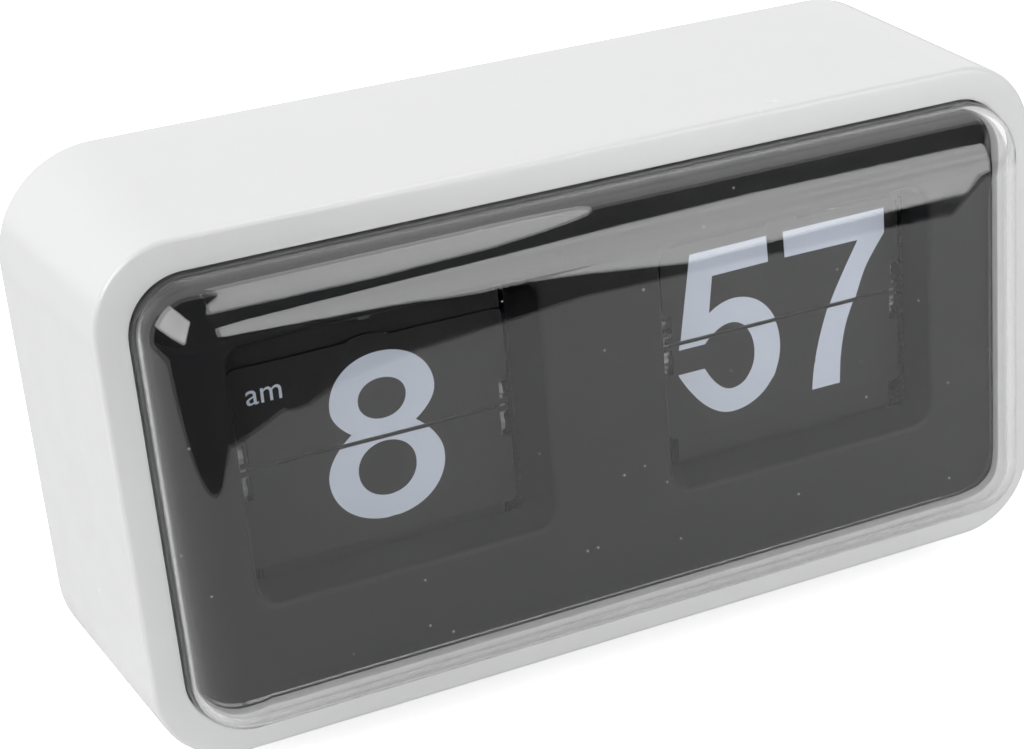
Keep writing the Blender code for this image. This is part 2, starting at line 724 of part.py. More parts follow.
def make_axle(name, start, end, centre):
    """A steel axle with small chamfers at both ends."""
    thin = AXLE_RADIUS - AXLE_END
    profile = [
        (start, thin), (start + AXLE_END, AXLE_RADIUS),
        (end - AXLE_END, AXLE_RADIUS), (end, thin),
    ]
    middle = (start + end) / 2
    return add_object(
        name, turned(profile, centre, 16), STEEL, 0.25, 1.0, pivot=at(middle, *centre)
    )


def gear_outline(teeth, module, phase=0.0):
    """Straight-sided teeth round a pitch circle. phase is in degrees."""
    pitch = module * teeth / 2
    tip, root = pitch + module * RISE_SHARE, pitch - module * ROOT_SHARE
    wide = FOOT_SHARE * 2 * math.pi / teeth
    narrow = TIP_SHARE * 2 * math.pi / teeth
    outline = []
    for i in range(teeth):
        middle = math.radians(phase) + 2 * math.pi * i / teeth
        for turn, radius in (
            (-wide, root), (-narrow, tip), (narrow, tip), (wide, root)
        ):
            outline.append((radius * math.cos(middle + turn), radius * math.sin(middle + turn)))
    return outline


def make_gear(name, teeth, module, start, thick, centre, phase, hub_side, colour=NYLON):
    """A spur gear with a hub on one side, bored for its axle."""
    bm = bar(gear_outline(teeth, module, phase), start, start + thick, centre)
    gear = add_object(name, bm, colour, 0.45, pivot=at(start + thick / 2, *centre))
    if hub_side:
        face = start + thick if hub_side > 0 else start
        hub = rod(
            HUB_RADIUS, face - hub_side * thick / 2, face + hub_side * HUB_LENGTH, centre, 16
        )
        join(gear, hub, "hub")
    reach = HUB_LENGTH + OVERRUN
    cut(gear, rod(AXLE_RADIUS + RUN, start - reach, start + thick + reach, centre, 16), "bore")
    return gear


def mesh_phase(driver_teeth, driver_phase, teeth, direction):
    """The phase that puts a gear's gap over the driver's tooth. direction is the angle in
    degrees from the driver's middle to the gear's middle."""
    pitch = 360 / driver_teeth
    offset = (direction - driver_phase) / pitch
    share = offset - math.floor(offset)
    return direction + 180 + (share + 0.5) * 360 / teeth


def idler_centre():
    """The idler stands where both of its meshes have their right distance."""
    to_minute = IDLER_MODULE * (IDLER_TEETH + SMALL_TEETH) / 2
    to_hour = HOUR_MODULE * (HOUR_GEAR_TEETH + SMALL_TEETH) / 2
    low = (to_hour**2 - to_minute**2 + MINUTE_RISE**2) / (2 * MINUTE_RISE)
    back = math.sqrt(to_hour**2 - low**2)
    return DRUM_DEPTH + back, low


def motor_centre():
    reach = DRIVE_MODULE * (DRIVE_TEETH + SMALL_TEETH) / 2
    turn = math.radians(MOTOR_ANGLE)
    return DRUM_DEPTH + reach * math.cos(turn), MINUTE_RISE + reach * math.sin(turn)


def direction(start, end):
    return math.degrees(math.atan2(end[1] - start[1], end[0] - start[0]))


def make_gear_train():
    hour, minute = (DRUM_DEPTH, 0.0), (DRUM_DEPTH, MINUTE_RISE)
    idler, motor, wheel = idler_centre(), motor_centre(), (WHEEL_DEPTH, WHEEL_HEIGHT)
    make_gear(
        "drive_gear", DRIVE_TEETH, DRIVE_MODULE, DRIVE_GEAR_X, GEAR_THICK, minute, 0.0, 1, BRASS
    )
    pinion_x = IDLER_WHEEL_X - (PINION_THICK - GEAR_THICK) / 2
    make_gear(
        "minute_pinion", SMALL_TEETH, IDLER_MODULE, pinion_x, PINION_THICK, minute, 0.0, 0, BRASS
    )
    phase = mesh_phase(SMALL_TEETH, 0.0, IDLER_TEETH, direction(minute, idler))
    make_gear(
        "idler_wheel", IDLER_TEETH, IDLER_MODULE, IDLER_WHEEL_X, GEAR_THICK, idler, phase, -1
    )
    make_gear(
        "hour_gear", HOUR_GEAR_TEETH, HOUR_MODULE, HOUR_GEAR_X, GEAR_THICK, hour, 0.0, 1
    )
    phase = mesh_phase(HOUR_GEAR_TEETH, 0.0, SMALL_TEETH, direction(hour, idler))
    pinion_x = HOUR_GEAR_X - (PINION_THICK - GEAR_THICK) / 2
    make_gear(
        "idler_pinion", SMALL_TEETH, HOUR_MODULE, pinion_x, PINION_THICK, idler, phase, 0, BRASS
    )
    phase = mesh_phase(DRIVE_TEETH, 0.0, SMALL_TEETH, direction(minute, motor))
    make_gear(
        "motor_pinion", SMALL_TEETH, DRIVE_MODULE, DRIVE_GEAR_X, GEAR_THICK, motor, phase, 0, BRASS
    )
    phase = mesh_phase(DRIVE_TEETH, 0.0, SETTING_TEETH, direction(minute, wheel))
    make_gear(
        "setting_gear", SETTING_TEETH, DRIVE_MODULE, DRIVE_GEAR_X, GEAR_THICK, wheel, phase, 0
    )


def make_axles():
    past = PLATE_THICK + AXLE_END
    reach = GEAR_THICK + HUB_LENGTH + AXLE_END
    hour, minute = (DRUM_DEPTH, 0.0), (DRUM_DEPTH, MINUTE_RISE)
    make_axle("hour_axle", -SIDE_PLATE_X - past, HOUR_GEAR_X + reach, hour)
    make_axle("minute_axle", IDLER_WHEEL_X - 2 * AXLE_END, DRIVE_GEAR_X + reach, minute)
    make_axle("idler_axle", -INNER_PLATE_X - past, INNER_PLATE_X + past, idler_centre())
    shaft_end = DRIVE_GEAR_X + GEAR_THICK + MOTOR_CAP_LENGTH + 2 * GAP
    make_axle("motor_shaft", DRIVE_GEAR_X - AXLE_END, shaft_end, motor_centre())


def make_setting_wheel():
    """A ribbed thumbwheel that stands out of the rear cover, on its own shaft."""
    centre = (WHEEL_DEPTH, WHEEL_HEIGHT)
    start = DRIVE_GEAR_X + GEAR_THICK + GAP
    shares = [(share, WHEEL_RADIUS + WHEEL_RIB_HEIGHT) for share in WHEEL_RIB_SHARES]
    shares += [(share, WHEEL_RADIUS) for share in WHEEL_GROOVE_SHARES]
    outline = ribbed_outline(WHEEL_RIBS, shares)
    bm = bar(outline, start, start + WHEEL_WIDTH, centre)
    wheel = add_object("setting_wheel", bm, DARK, 0.45, pivot=at(start + WHEEL_WIDTH / 2, *centre))
    bore = rod(AXLE_RADIUS + RUN, start - OVERRUN, start + WHEEL_WIDTH + OVERRUN, centre, 16)
    cut(wheel, bore, "bore")
    make_axle(
        "setting_shaft", SIDE_PLATE_X + GAP, start + WHEEL_WIDTH + 2 * GAP + EAR_THICK, centre
    )


def side_plate(name, x, holes):
    """An upright plate with a round corner at each end and a bore for each axle."""
    low = FLOOR_TOP + GAP
    corner = SIDE_PLATE_CORNER
    front, back, top = SIDE_PLATE_FRONT, SIDE_PLATE_BACK, SIDE_PLATE_TOP
    over_tray = max(CELL_HEIGHT + TRAY_REACH, low) + GAP
    outline = [(front, low), (FLOOR_BACK, low), (FLOOR_BACK, over_tray)]
    outline.append((back, over_tray + corner))
    outline += arc((back - corner, top - corner), corner, 0, 90, 5)
    outline += arc((front + corner / 2, top - corner / 2), corner / 2, 90, 180, 4)
    plate = add_object(name, bar(outline, x, x + PLATE_THICK), STEEL, 0.35, 1.0)
    for i, centre in enumerate(holes):
        hole = rod(AXLE_RADIUS + RUN, x - OVERRUN, x + PLATE_THICK + OVERRUN, centre, 16)
        cut(plate, hole, f"bore_{i}")
    return plate


def make_chassis():
    hour, minute = (DRUM_DEPTH, 0.0), (DRUM_DEPTH, MINUTE_RISE)
    side_plate("left_plate", -SIDE_PLATE_X - PLATE_THICK, [hour])
    side_plate("inner_left_plate", -INNER_PLATE_X - PLATE_THICK, [hour, idler_centre()])
    side_plate("inner_right_plate", INNER_PLATE_X, [minute, idler_centre()])
    side_plate("right_plate", SIDE_PLATE_X, [minute, (WHEEL_DEPTH, WHEEL_HEIGHT)])
    edge = SIDE_PLATE_X + PLATE_THICK
    low = (-edge, SIDE_PLATE_FRONT, FLOOR_TOP - FLOOR_THICK)
    floor = add_object(
        "chassis_floor", block(low, (edge, FLOOR_BACK, FLOOR_TOP)), STEEL, 0.35, 1.0
    )
    for i, (side, depth) in enumerate(
        (side, depth) for side in (-1, 1)
        for depth in (SIDE_PLATE_FRONT, FLOOR_BACK - LEG_WIDTH)
    ):
        _, height, _ = inner_size(depth, SIDE_WALL)
        near = side * (edge - LEG_WIDTH)
        leg = block(
            (min(near, side * edge), depth, -height / 2 + GAP),
            (max(near, side * edge), depth + LEG_WIDTH, FLOOR_TOP - FLOOR_THICK / 2),
        )
        join(floor, leg, f"leg_{i}")
    start = SIDE_PLATE_TOP + GAP
    add_object(
        "top_bar",
        block(
            (-edge, SIDE_PLATE_FRONT, start),
            (edge, SIDE_PLATE_FRONT + BAR_DEPTH, start + BAR_THICK),
        ),
        STEEL, 0.35, 1.0,
    )


def make_catch(label, x, tip):
    """A small spring finger that hangs from the top bar over the middle of a leaf."""
    plane = LEAF_PLANE + LEAF_THICK / 2
    top = SIDE_PLATE_TOP + BAR_THICK + 2 * GAP
    shoulder = tip + CATCH_WIDTH
    half, thin = CATCH_WIDTH / 2, CATCH_TIP_WIDTH / 2
    outline = [(x - thin, tip), (x + thin, tip), (x + half, shoulder)]
    outline += [(x + half, top), (x - half, top), (x - half, shoulder)]
    catch = add_object(
        f"{label}_catch", slab(outline, plane - CATCH_THICK, plane), STEEL, 0.3, 1.0
    )
    foot = block(
        (x - half, plane - CATCH_THICK, top),
        (x + half, SIDE_PLATE_FRONT + BAR_DEPTH / 2, top + CATCH_THICK),
    )
    join(catch, foot, "foot")


def make_display(label, leaves, length, x, rise, skip):
    """Everything that belongs to one drum: leaves, pack, drum and catch."""
    pitch = 2 * math.pi * PIN_CIRCLE / leaves
    behind = LEAF_PLANE + LEAF_STEP
    hinge = at(x, LEAF_PLANE, rise)
    make_leaf(f"{label}_leaf_front", length, x, rise, LEAF_PLANE, 1, pivot=hinge)
    make_leaf(f"{label}_leaf_next", length, x, rise, behind, 1, pitch, at(x, behind, rise))
    make_leaf(f"{label}_leaf_lower", length, x, rise, behind, -1)
    make_pack(f"{label}_leaf_pack", leaves, length, x, rise, skip)
    make_drum(label, leaves, x, rise)
    over_front = rise + length + LEAF_TAB_RISE + CATCH_CLEAR
    make_catch(label, x, max(over_front, rise + pitch + length - CATCH_LAP))


def make_motor():
    centre = motor_centre()
    start = DRIVE_GEAR_X + GEAR_THICK + MOTOR_CAP_LENGTH
    profile = [
        (start + GAP, MOTOR_CAP_RADIUS), (start + MOTOR_CAP_LENGTH, MOTOR_CAP_RADIUS),
        (start + MOTOR_CAP_LENGTH, MOTOR_RADIUS - AXLE_END),
        (start + MOTOR_CAP_LENGTH + AXLE_END, MOTOR_RADIUS),
        (start + MOTOR_LENGTH - AXLE_END, MOTOR_RADIUS),
        (start + MOTOR_LENGTH, MOTOR_RADIUS - AXLE_END),
    ]
    motor = add_object("motor_case", turned(profile, centre, 32), STEEL, 0.3, 1.0)
    well = rod(
        AXLE_RADIUS + RUN, start - OVERRUN, start + MOTOR_CAP_LENGTH + OVERRUN, centre, 16
    )
    cut(motor, well, "shaft_hole")
    for side, where in ((-1, "front"), (1, "rear")):
        place = (centre[0] + side * POST_SPREAD, centre[1] - POST_SPREAD)
        bm = rod(
            POST_RADIUS, SIDE_PLATE_X + PLATE_THICK + GAP, start + MOTOR_CAP_LENGTH - GAP,
            place, 12,
        )
        add_object(f"motor_post_{where}", bm, STEEL, 0.3, 1.0)


def make_rear_cover():
    depths = (COVER_BACK, COVER_INNER - COVER_SKIRT)
    sections = [rounded(*inner_size(depth, SIDE_WALL + GAP), depth) for depth in depths]
    wall = SIDE_WALL + GAP + COVER_SKIRT_WALL
    for depth in (COVER_INNER - COVER_SKIRT, COVER_INNER):
        sections.append(rounded(*inner_size(depth, wall), depth))
    cover = add_object("rear_cover", walk(sections), BLACK, 0.5)
    for i, (x, height) in enumerate(boss_centres()):
        hole = post(SCREW_RADIUS + RUN, COVER_INNER - OVERRUN, COVER_BACK, x, height, 12)
        cut(cover, hole, f"screw_hole_{i}")
        seat = post(
            SCREW_HEAD_RADIUS + RUN, COVER_BACK - SCREW_HEAD_THICK, COVER_BACK + OVERRUN,
            x, height, 16,
        )
        cut(cover, seat, f"screw_seat_{i}")
    middle = CELL_HEIGHT
    recess = walk([
        rounded(DOOR_WIDTH + 2 * GAP, DOOR_HEIGHT + 2 * GAP, DOOR_CORNER + GAP, depth,
                0.0, middle, 4)
        for depth in (COVER_BACK - DOOR_THICK - GAP, COVER_BACK + OVERRUN)
    ])
    cut(cover, recess, "door_recess")
    way_in = walk([
        rounded(DOOR_WIDTH - 2 * DOOR_LEDGE, DOOR_HEIGHT - 2 * DOOR_LEDGE, DOOR_CORNER, depth,
                0.0, middle, 4)
        for depth in (COVER_INNER - OVERRUN, COVER_BACK)
    ])
    cut(cover, way_in, "door_opening")
    wheel = (WHEEL_DEPTH, WHEEL_HEIGHT)
    start = DRIVE_GEAR_X + GEAR_THICK + GAP
    reach = WHEEL_RADIUS + WHEEL_RIB_HEIGHT
    inner = COVER_INNER - wheel[0]
    half = math.sqrt(reach**2 - inner**2) + 2 * GAP
    slot = block(
        (start - 2 * GAP, COVER_INNER - OVERRUN, wheel[1] - half),
        (start + WHEEL_WIDTH + 2 * GAP, COVER_BACK + OVERRUN, wheel[1] + half),
    )
    cut(cover, slot, "wheel_slot")
    near = start + WHEEL_WIDTH + 2 * GAP
    ear = block(
        (near, wheel[0] - EAR_HEIGHT / 2, wheel[1] - EAR_HEIGHT / 2),
        (near + EAR_THICK, COVER_INNER + OVERRUN, wheel[1] + EAR_HEIGHT / 2),
    )
    join(cover, ear, "ear")
    bore = rod(AXLE_RADIUS + RUN, near - OVERRUN, near + EAR_THICK + OVERRUN, wheel, 16)
    cut(cover, bore, "ear_bore")


def make_battery_door():
    middle = CELL_HEIGHT
    bm = walk([
        rounded(DOOR_WIDTH, DOOR_HEIGHT, DOOR_CORNER, depth, 0.0, middle, 4)
        for depth in (COVER_BACK - DOOR_THICK, COVER_BACK)
    ])
    pivot = at(0.0, COVER_BACK, middle)
    door = add_object("battery_door", bm, BLACK, 0.5, pivot=pivot)
    grip = walk([
        rounded(DOOR_GRIP_WIDTH, DOOR_GRIP_HEIGHT, DOOR_CORNER / 2, depth,
                0.0, middle + DOOR_HEIGHT / 4, 4)
        for depth in (COVER_BACK - DOOR_GRIP_DEEP, COVER_BACK + OVERRUN)
    ])
    cut(door, grip, "grip")


def make_screws():
    for (x, height), where in zip(
        boss_centres(), ("lower_left", "upper_left", "lower_right", "upper_right")
    ):
        seat = COVER_BACK - SCREW_HEAD_THICK + GAP
        outline = round_outline(1.0, 12)
        profile = [
            (seat + GAP - SCREW_LENGTH, SCREW_RADIUS / 2),
            (seat + GAP - SCREW_LENGTH + SCREW_RADIUS, SCREW_RADIUS),
            (seat, SCREW_RADIUS), (seat, SCREW_HEAD_RADIUS), (COVER_BACK, SCREW_HEAD_RADIUS),
        ]
        bm = walk([
            [at(x + a * radius, depth, height + b * radius) for a, b in outline]
            for depth, radius in profile
        ])
        screw = add_object(f"cover_screw_{where}", bm, STEEL, 0.3, 1.0)
        for label, wide, tall in (
            ("slot", SCREW_SLOT_LONG, SCREW_SLOT), ("cross_slot", SCREW_SLOT, SCREW_SLOT_LONG)
        ):
            slot = block(
                (x - wide / 2, COVER_BACK - SCREW_SLOT_DEEP, height - tall / 2),
                (x + wide / 2, COVER_BACK + OVERRUN, height + tall / 2),
            )
            cut(screw, slot, label)


def make_feet():
    """Pads whose tops follow the slanting underside, so that the clock stands level."""
    for side, across in ((-1, "left"), (1, "right")):
        for depth, along in ((FOOT_FRONT, "front"), (FOOT_REAR, "rear")):
            x = side * FOOT_SIDE
            rings = []
            for level, radius in (
                (0.0, FOOT_RADIUS - FOOT_ROUND), (FOOT_ROUND, FOOT_RADIUS), (None, FOOT_RADIUS)
            ):
                ring = []
                for a, b in round_outline(radius, 20):
                    point = at(x + a, depth + b, 0.0)
                    _, height, _ = housing_size(depth + b)
                    under = CENTRE_Z - height / 2 - GAP
                    point.z = under if level is None else level
                    ring.append(point)
                rings.append(ring)
            add_object(f"foot_{along}_{across}", walk(rings), RUBBER, 0.8)


def make_battery():
    depth = CELL_DEPTH
    inner_half = CELL_LENGTH / 2 + CELL_CAP_LENGTH + TRAY_END
    outer_half = inner_half + TRAY_WALL
    reach = TRAY_REACH
    tray = add_object(
        "battery_tray",
        block(
            (-outer_half, depth - reach, CELL_HEIGHT - reach),
            (outer_half, TRAY_BACK, CELL_HEIGHT + reach),
        ),
        BLACK, 0.5,
    )
    hollow = block(
        (-inner_half, depth - reach + TRAY_WALL, CELL_HEIGHT - reach + TRAY_WALL),
        (inner_half, TRAY_BACK + OVERRUN, CELL_HEIGHT + reach - TRAY_WALL),
    )
    cut(tray, hollow, "hollow")
    half = CELL_LENGTH / 2
    centre = (depth, CELL_HEIGHT)
    profile = [
        (-half, CELL_RADIUS - AXLE_END), (-half + AXLE_END, CELL_RADIUS),
        (half - AXLE_END, CELL_RADIUS), (half, CELL_RADIUS - AXLE_END),
        (half, CELL_CAP_RADIUS), (half + CELL_CAP_LENGTH, CELL_CAP_RADIUS),
    ]
    add_object("battery", turned(profile, centre, 24), BRASS, 0.35, 0.6)
    side = CONTACT_SIZE / 2
    for name, start in (
        ("contact_plate", inner_half - GAP - CONTACT_THICK),
        ("spring_plate", -inner_half + GAP),
    ):
        bm = block(
            (start, depth - side, CELL_HEIGHT - side),
            (start + CONTACT_THICK, depth + side, CELL_HEIGHT + side),
        )
        add_object(name, bm, STEEL, 0.3, 1.0)
    start = -inner_half + 2 * GAP + CONTACT_THICK + SPRING_WIRE
    end = -half - GAP - SPRING_WIRE
    make_spring("contact_spring", start, end, centre)


def make_spring(name, start, end, centre):
    """A cone-shaped coil from the spring plate to the cell."""
    steps = 12 * SPRING_TURNS
    curve = bpy.data.curves.new(name, "CURVE")
    curve.dimensions = "3D"
    curve.bevel_depth = SPRING_WIRE
    curve.bevel_resolution = 1
    curve.use_fill_caps = True
    path = curve.splines.new("POLY")
    path.points.add(steps)
    for i in range(steps + 1):
        share = i / steps
        turn = 2 * math.pi * SPRING_TURNS * share
        radius = SPRING_RADIUS + (SPRING_TIP_RADIUS - SPRING_RADIUS) * share
        place = at(
            start + (end - start) * share,
            centre[0] + radius * math.cos(turn), centre[1] + radius * math.sin(turn),
        )
        path.points[i].co = (*place, 1.0)
    spring = bpy.data.objects.new(name, curve)
    bpy.context.scene.collection.objects.link(spring)
    curve.materials.append(material(name, STEEL, 0.25, 1.0))


def main():
    clear_scene()
    make_housing()
    make_lens()
    make_face_plate()
    make_display("hour", HOUR_LEAVES, HOUR_LEAF, -LEAF_OFFSET, 0.0, 2)
    make_display("minute", MINUTE_LEAVES, MINUTE_LEAF, LEAF_OFFSET, MINUTE_RISE, 3)
    make_gear_train()
    make_axles()
    make_setting_wheel()
    make_chassis()
    make_motor()
    make_rear_cover()
    make_battery_door()
    make_screws()
    make_feet()
    make_battery()


main()
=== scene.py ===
"""Looks of the table clock: a glossy white shell, a domed clear lens, a black face
plate and printed leaves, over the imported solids.

Metres, +Z up, the clock faces -Y. A place is given as (x, depth, height): depth runs
back from the front face of the housing, height up from its middle."""

import json
import math

import bmesh
import bpy
from mathutils import Matrix, Vector

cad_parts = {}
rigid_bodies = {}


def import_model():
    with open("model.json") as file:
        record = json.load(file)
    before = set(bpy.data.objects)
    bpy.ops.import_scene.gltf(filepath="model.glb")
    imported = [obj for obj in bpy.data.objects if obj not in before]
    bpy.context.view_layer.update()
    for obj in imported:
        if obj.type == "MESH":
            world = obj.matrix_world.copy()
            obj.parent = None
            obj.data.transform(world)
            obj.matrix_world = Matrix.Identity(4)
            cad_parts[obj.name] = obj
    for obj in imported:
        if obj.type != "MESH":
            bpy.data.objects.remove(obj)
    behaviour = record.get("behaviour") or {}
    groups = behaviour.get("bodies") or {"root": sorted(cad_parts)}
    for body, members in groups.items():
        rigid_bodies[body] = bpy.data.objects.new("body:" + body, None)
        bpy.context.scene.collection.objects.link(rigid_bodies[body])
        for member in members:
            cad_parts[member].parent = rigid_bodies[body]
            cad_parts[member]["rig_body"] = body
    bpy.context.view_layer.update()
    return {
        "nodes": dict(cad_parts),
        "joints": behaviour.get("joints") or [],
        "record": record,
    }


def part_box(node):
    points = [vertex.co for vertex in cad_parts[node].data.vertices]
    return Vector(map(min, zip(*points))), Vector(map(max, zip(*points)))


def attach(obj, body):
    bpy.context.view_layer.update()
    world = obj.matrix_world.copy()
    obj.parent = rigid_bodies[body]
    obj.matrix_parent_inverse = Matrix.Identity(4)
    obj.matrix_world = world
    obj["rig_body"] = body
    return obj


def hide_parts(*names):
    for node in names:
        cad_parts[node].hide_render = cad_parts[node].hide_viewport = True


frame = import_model()
NODES = frame["nodes"]
CASE = "case"

# The housing's own numbers, as in the solids
HOUSING_LOW, HOUSING_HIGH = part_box("housing")
PLATE_BACK_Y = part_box("face_plate")[1].y
LENS_LOW, LENS_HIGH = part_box("front_lens")
FRONT_Y = HOUSING_LOW.y
CENTRE_Z = (HOUSING_LOW.z + HOUSING_HIGH.z) / 2
GAP = 0.0003
FRONT_WIDTH = 0.201
FRONT_HEIGHT = 0.106
HOUSING_DEPTH = HOUSING_HIGH.y - FRONT_Y
FLARE = (HOUSING_HIGH.z - HOUSING_LOW.z - FRONT_HEIGHT) / 2
FRONT_CORNER = 0.0167
REAR_CORNER = 0.022
FRONT_ROUND = 0.001
REAR_ROUND = 0.0005
SIDE_WALL = 0.0025
FRONT_WALL = 0.003
BEZEL_SIDE = 0.0064
BEZEL_END = 0.0066
OPENING_CORNER = 0.0115
OPENING_ROUND = 0.0003
OPENING_WIDTH = FRONT_WIDTH - 2 * BEZEL_SIDE
OPENING_HEIGHT = FRONT_HEIGHT - 2 * BEZEL_END

# Lens
LENS_WALL = 0.0018
LENS_BULGE = FRONT_Y - LENS_LOW.y
LENS_STRAIGHT = 0.0006
LENS_CROWN = 0.0009
LENS_FLANGE = 0.003
LENS_FRONT_CORNER = 0.003
LENS_CORNER_SHARE = 0.72
CROWN_SHARES = (0.875, 0.75, 0.625, 0.5, 0.375, 0.25, 0.125)

# Face plate
PLATE_DEPTH = 0.003
CLAMP_DEPTH = 0.0052
CLAMP_THICK = 0.0014
PLATE_ROUND = 0.0004
WINDOW_WIDTH = 0.063
WINDOW_HEIGHT = 0.0532
WINDOW_RISE = 0.002
WINDOW_OFFSET = 0.045
WINDOW_CORNER = 0.0042
WINDOW_ROUND = 0.0012
SLEEVE_WALL = 0.0011
SLEEVE_GAP = 0.0006
SLEEVE_LOW = -0.0228
SLEEVE_HIGH = 0.0269
SLEEVE_CORNER = 0.0021

# Support points beside a corner, steps round each kind of corner, and welding
EVEN = 0.0006
CORNER_STEPS = 18
ROUND_STEPS = 7
DOME_STEPS = 16
SMALL_STEPS = 3
LIP_STEPS = 5
WELD = 1e-6
FLAT_WELD = 1e-7
SMOOTH_ANGLE = 30.0
LENS_SMOOTH_ANGLE = 40.0


def at(x, depth, height):
    return Vector((x, FRONT_Y + depth, CENTRE_Z + height))


def arc(centre, radius, start, end, steps):
    """Points on an arc in a plane, with angles in degrees from the first axis."""
    turns = [math.radians(start + (end - start) * i / steps) for i in range(steps + 1)]
    return [(centre[0] + radius * math.cos(t), centre[1] + radius * math.sin(t)) for t in turns]


def rounded(width, height, corner, depth, x=0.0, rise=0.0):
    """A rectangle with round corners, upright at one depth. A point on each side close to
    every corner keeps the flat parts' shading even."""
    points = []
    for number, (side, end) in enumerate(((1, 1), (-1, 1), (-1, -1), (1, -1))):
        centre = (side * (width / 2 - corner), end * (height / 2 - corner))
        curve = arc(centre, corner, 90 * number, 90 * number + 90, CORNER_STEPS)
        turn = math.radians(90 * number)
        lead = (EVEN * math.cos(turn), EVEN * math.sin(turn))
        points.append((curve[0][0] + lead[1], curve[0][1] - lead[0]))
        points += curve
        points.append((curve[-1][0] - lead[0], curve[-1][1] - lead[1]))
    return [at(x + across, depth, rise + up) for across, up in points]


def start_loop(bm, points):
    rim = [bm.verts.new(point) for point in points]
    return rim, [bm.edges.new((rim[i - 1], rim[i])) for i in range(len(rim))]


def push(bm, rim, edges, points):
    """Extrudes an open loop of edges and moves the new loop onto the points."""
    grown = bmesh.ops.extrude_edge_only(bm, edges=edges)["geom"]
    moved = {}
    for vert in (item for item in grown if isinstance(item, bmesh.types.BMVert)):
        for edge in vert.link_edges:
            moved[edge.other_vert(vert)] = vert
    rim = [moved[vert] for vert in rim]
    for vert, point in zip(rim, points):
        vert.co = point
    fresh = [item for item in grown if isinstance(item, bmesh.types.BMEdge)]
    return rim, [edge for edge in fresh if edge.is_boundary]


def tube(bm, sections):
    """An open skin over a list of outlines. Returns its first and last loops of edges."""
    rim, first = start_loop(bm, sections[0])
    last = first
    for points in sections[1:]:
        rim, last = push(bm, rim, last, points)
    return first, last


def walk(sections, ring=False):
    """A solid skinned over outlines, capped at both ends or joined end to end."""
    bm = bmesh.new()
    first, last = tube(bm, sections + sections[:1] * ring)
    if ring:
        bmesh.ops.remove_doubles(bm, verts=bm.verts, dist=WELD)
    else:
        bmesh.ops.edgeloop_fill(bm, edges=first)
        bmesh.ops.edgeloop_fill(bm, edges=last)
    return bm


def add_piece(name, bm, finish, body=CASE, replaces=(), smooth=SMOOTH_ANGLE):
    """Turns a bmesh in world places into a piece that rides on a body."""
    bmesh.ops.recalc_face_normals(bm, faces=bm.faces)
    if bm.calc_volume(signed=True) < 0:
        bmesh.ops.reverse_faces(bm, faces=bm.faces)
    mesh = bpy.data.meshes.new(name)
    bm.to_mesh(mesh)
    bm.free()
    mesh.shade_smooth()
    mesh.set_sharp_from_angle(angle=math.radians(smooth))
    piece = bpy.data.objects.new(name, mesh)
    bpy.context.scene.collection.objects.link(piece)
    mesh.materials.append(finish)
    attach(piece, body)
    if replaces:
        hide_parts(*replaces)
    return piece


# ---- finishes -------------------------------------------------------------------------


class Finish:
    """A material's nodes, with short calls for the ones used again and again."""

    def __init__(self, name):
        self.material = bpy.data.materials.new(name)
        self.material.use_nodes = True
        self.nodes = self.material.node_tree.nodes
        self.links = self.material.node_tree.links
        self.shader = self.nodes["Principled BSDF"]
        self.place = self.nodes.new("ShaderNodeTexCoord").outputs["Object"]

    def link(self, source, target):
        self.links.new(source, target)

    def stretched(self, scale):
        mapping = self.nodes.new("ShaderNodeMapping")
        mapping.inputs["Scale"].default_value = scale
        self.link(self.place, mapping.inputs["Vector"])
        return mapping.outputs["Vector"]

    def noise(self, scale, detail=3.0, place=None, roughness=0.5):
        node = self.nodes.new("ShaderNodeTexNoise")
        node.inputs["Scale"].default_value = scale
        node.inputs["Detail"].default_value = detail
        node.inputs["Roughness"].default_value = roughness
        self.link(place or self.place, node.inputs["Vector"])
        return node.outputs["Fac"]

    def cells(self, scale):
        node = self.nodes.new("ShaderNodeTexVoronoi")
        node.inputs["Scale"].default_value = scale
        self.link(self.place, node.inputs["Vector"])
        return node

    def ranged(self, value, low, high, to_low=0.0, to_high=1.0):
        node = self.nodes.new("ShaderNodeMapRange")
        for key, number in (
            ("From Min", low), ("From Max", high), ("To Min", to_low), ("To Max", to_high)
        ):
            node.inputs[key].default_value = number
        self.link(value, node.inputs["Value"])
        return node.outputs["Result"]

    def product(self, first, second):
        node = self.nodes.new("ShaderNodeMath")
        node.operation = "MULTIPLY"
        self.link(first, node.inputs[0])
        self.link(second, node.inputs[1])
        return node.outputs["Value"]

    def mixed(self, share, first, second):
        """A colour between two, each a colour or a socket."""
        node = self.nodes.new("ShaderNodeMix")
        node.data_type = "RGBA"
        self.link(share, node.inputs["Factor"])
        for key, colour in (("A", first), ("B", second)):
            socket = next(s for s in node.inputs if s.name == key and s.type == "RGBA")
            if isinstance(colour, tuple):
                socket.default_value = (*colour, 1.0)
            else:
                self.link(colour, socket)
        return next(s for s in node.outputs if s.type == "RGBA")

    def relief(self, height, distance, strength=1.0):
        node = self.nodes.new("ShaderNodeBump")
        node.inputs["Distance"].default_value = distance
        node.inputs["Strength"].default_value = strength
        self.link(height, node.inputs["Height"])
        self.link(node.outputs["Normal"], self.shader.inputs["Normal"])

    def specks(self, scale, size, chance):
        """Small dots: a share of the cells of a pattern hold one each."""
        pattern = self.cells(scale)
        dots = self.ranged(pattern.outputs["Distance"], size, size * 0.6)
        split = self.nodes.new("ShaderNodeSeparateColor")
        self.link(pattern.outputs["Color"], split.inputs["Color"])
        picked = self.ranged(split.outputs["Red"], 1 - chance, 1 - chance + 0.01)
        return self.product(dots, picked)


def shaded(colour, share):
    return tuple(channel * share for channel in colour)


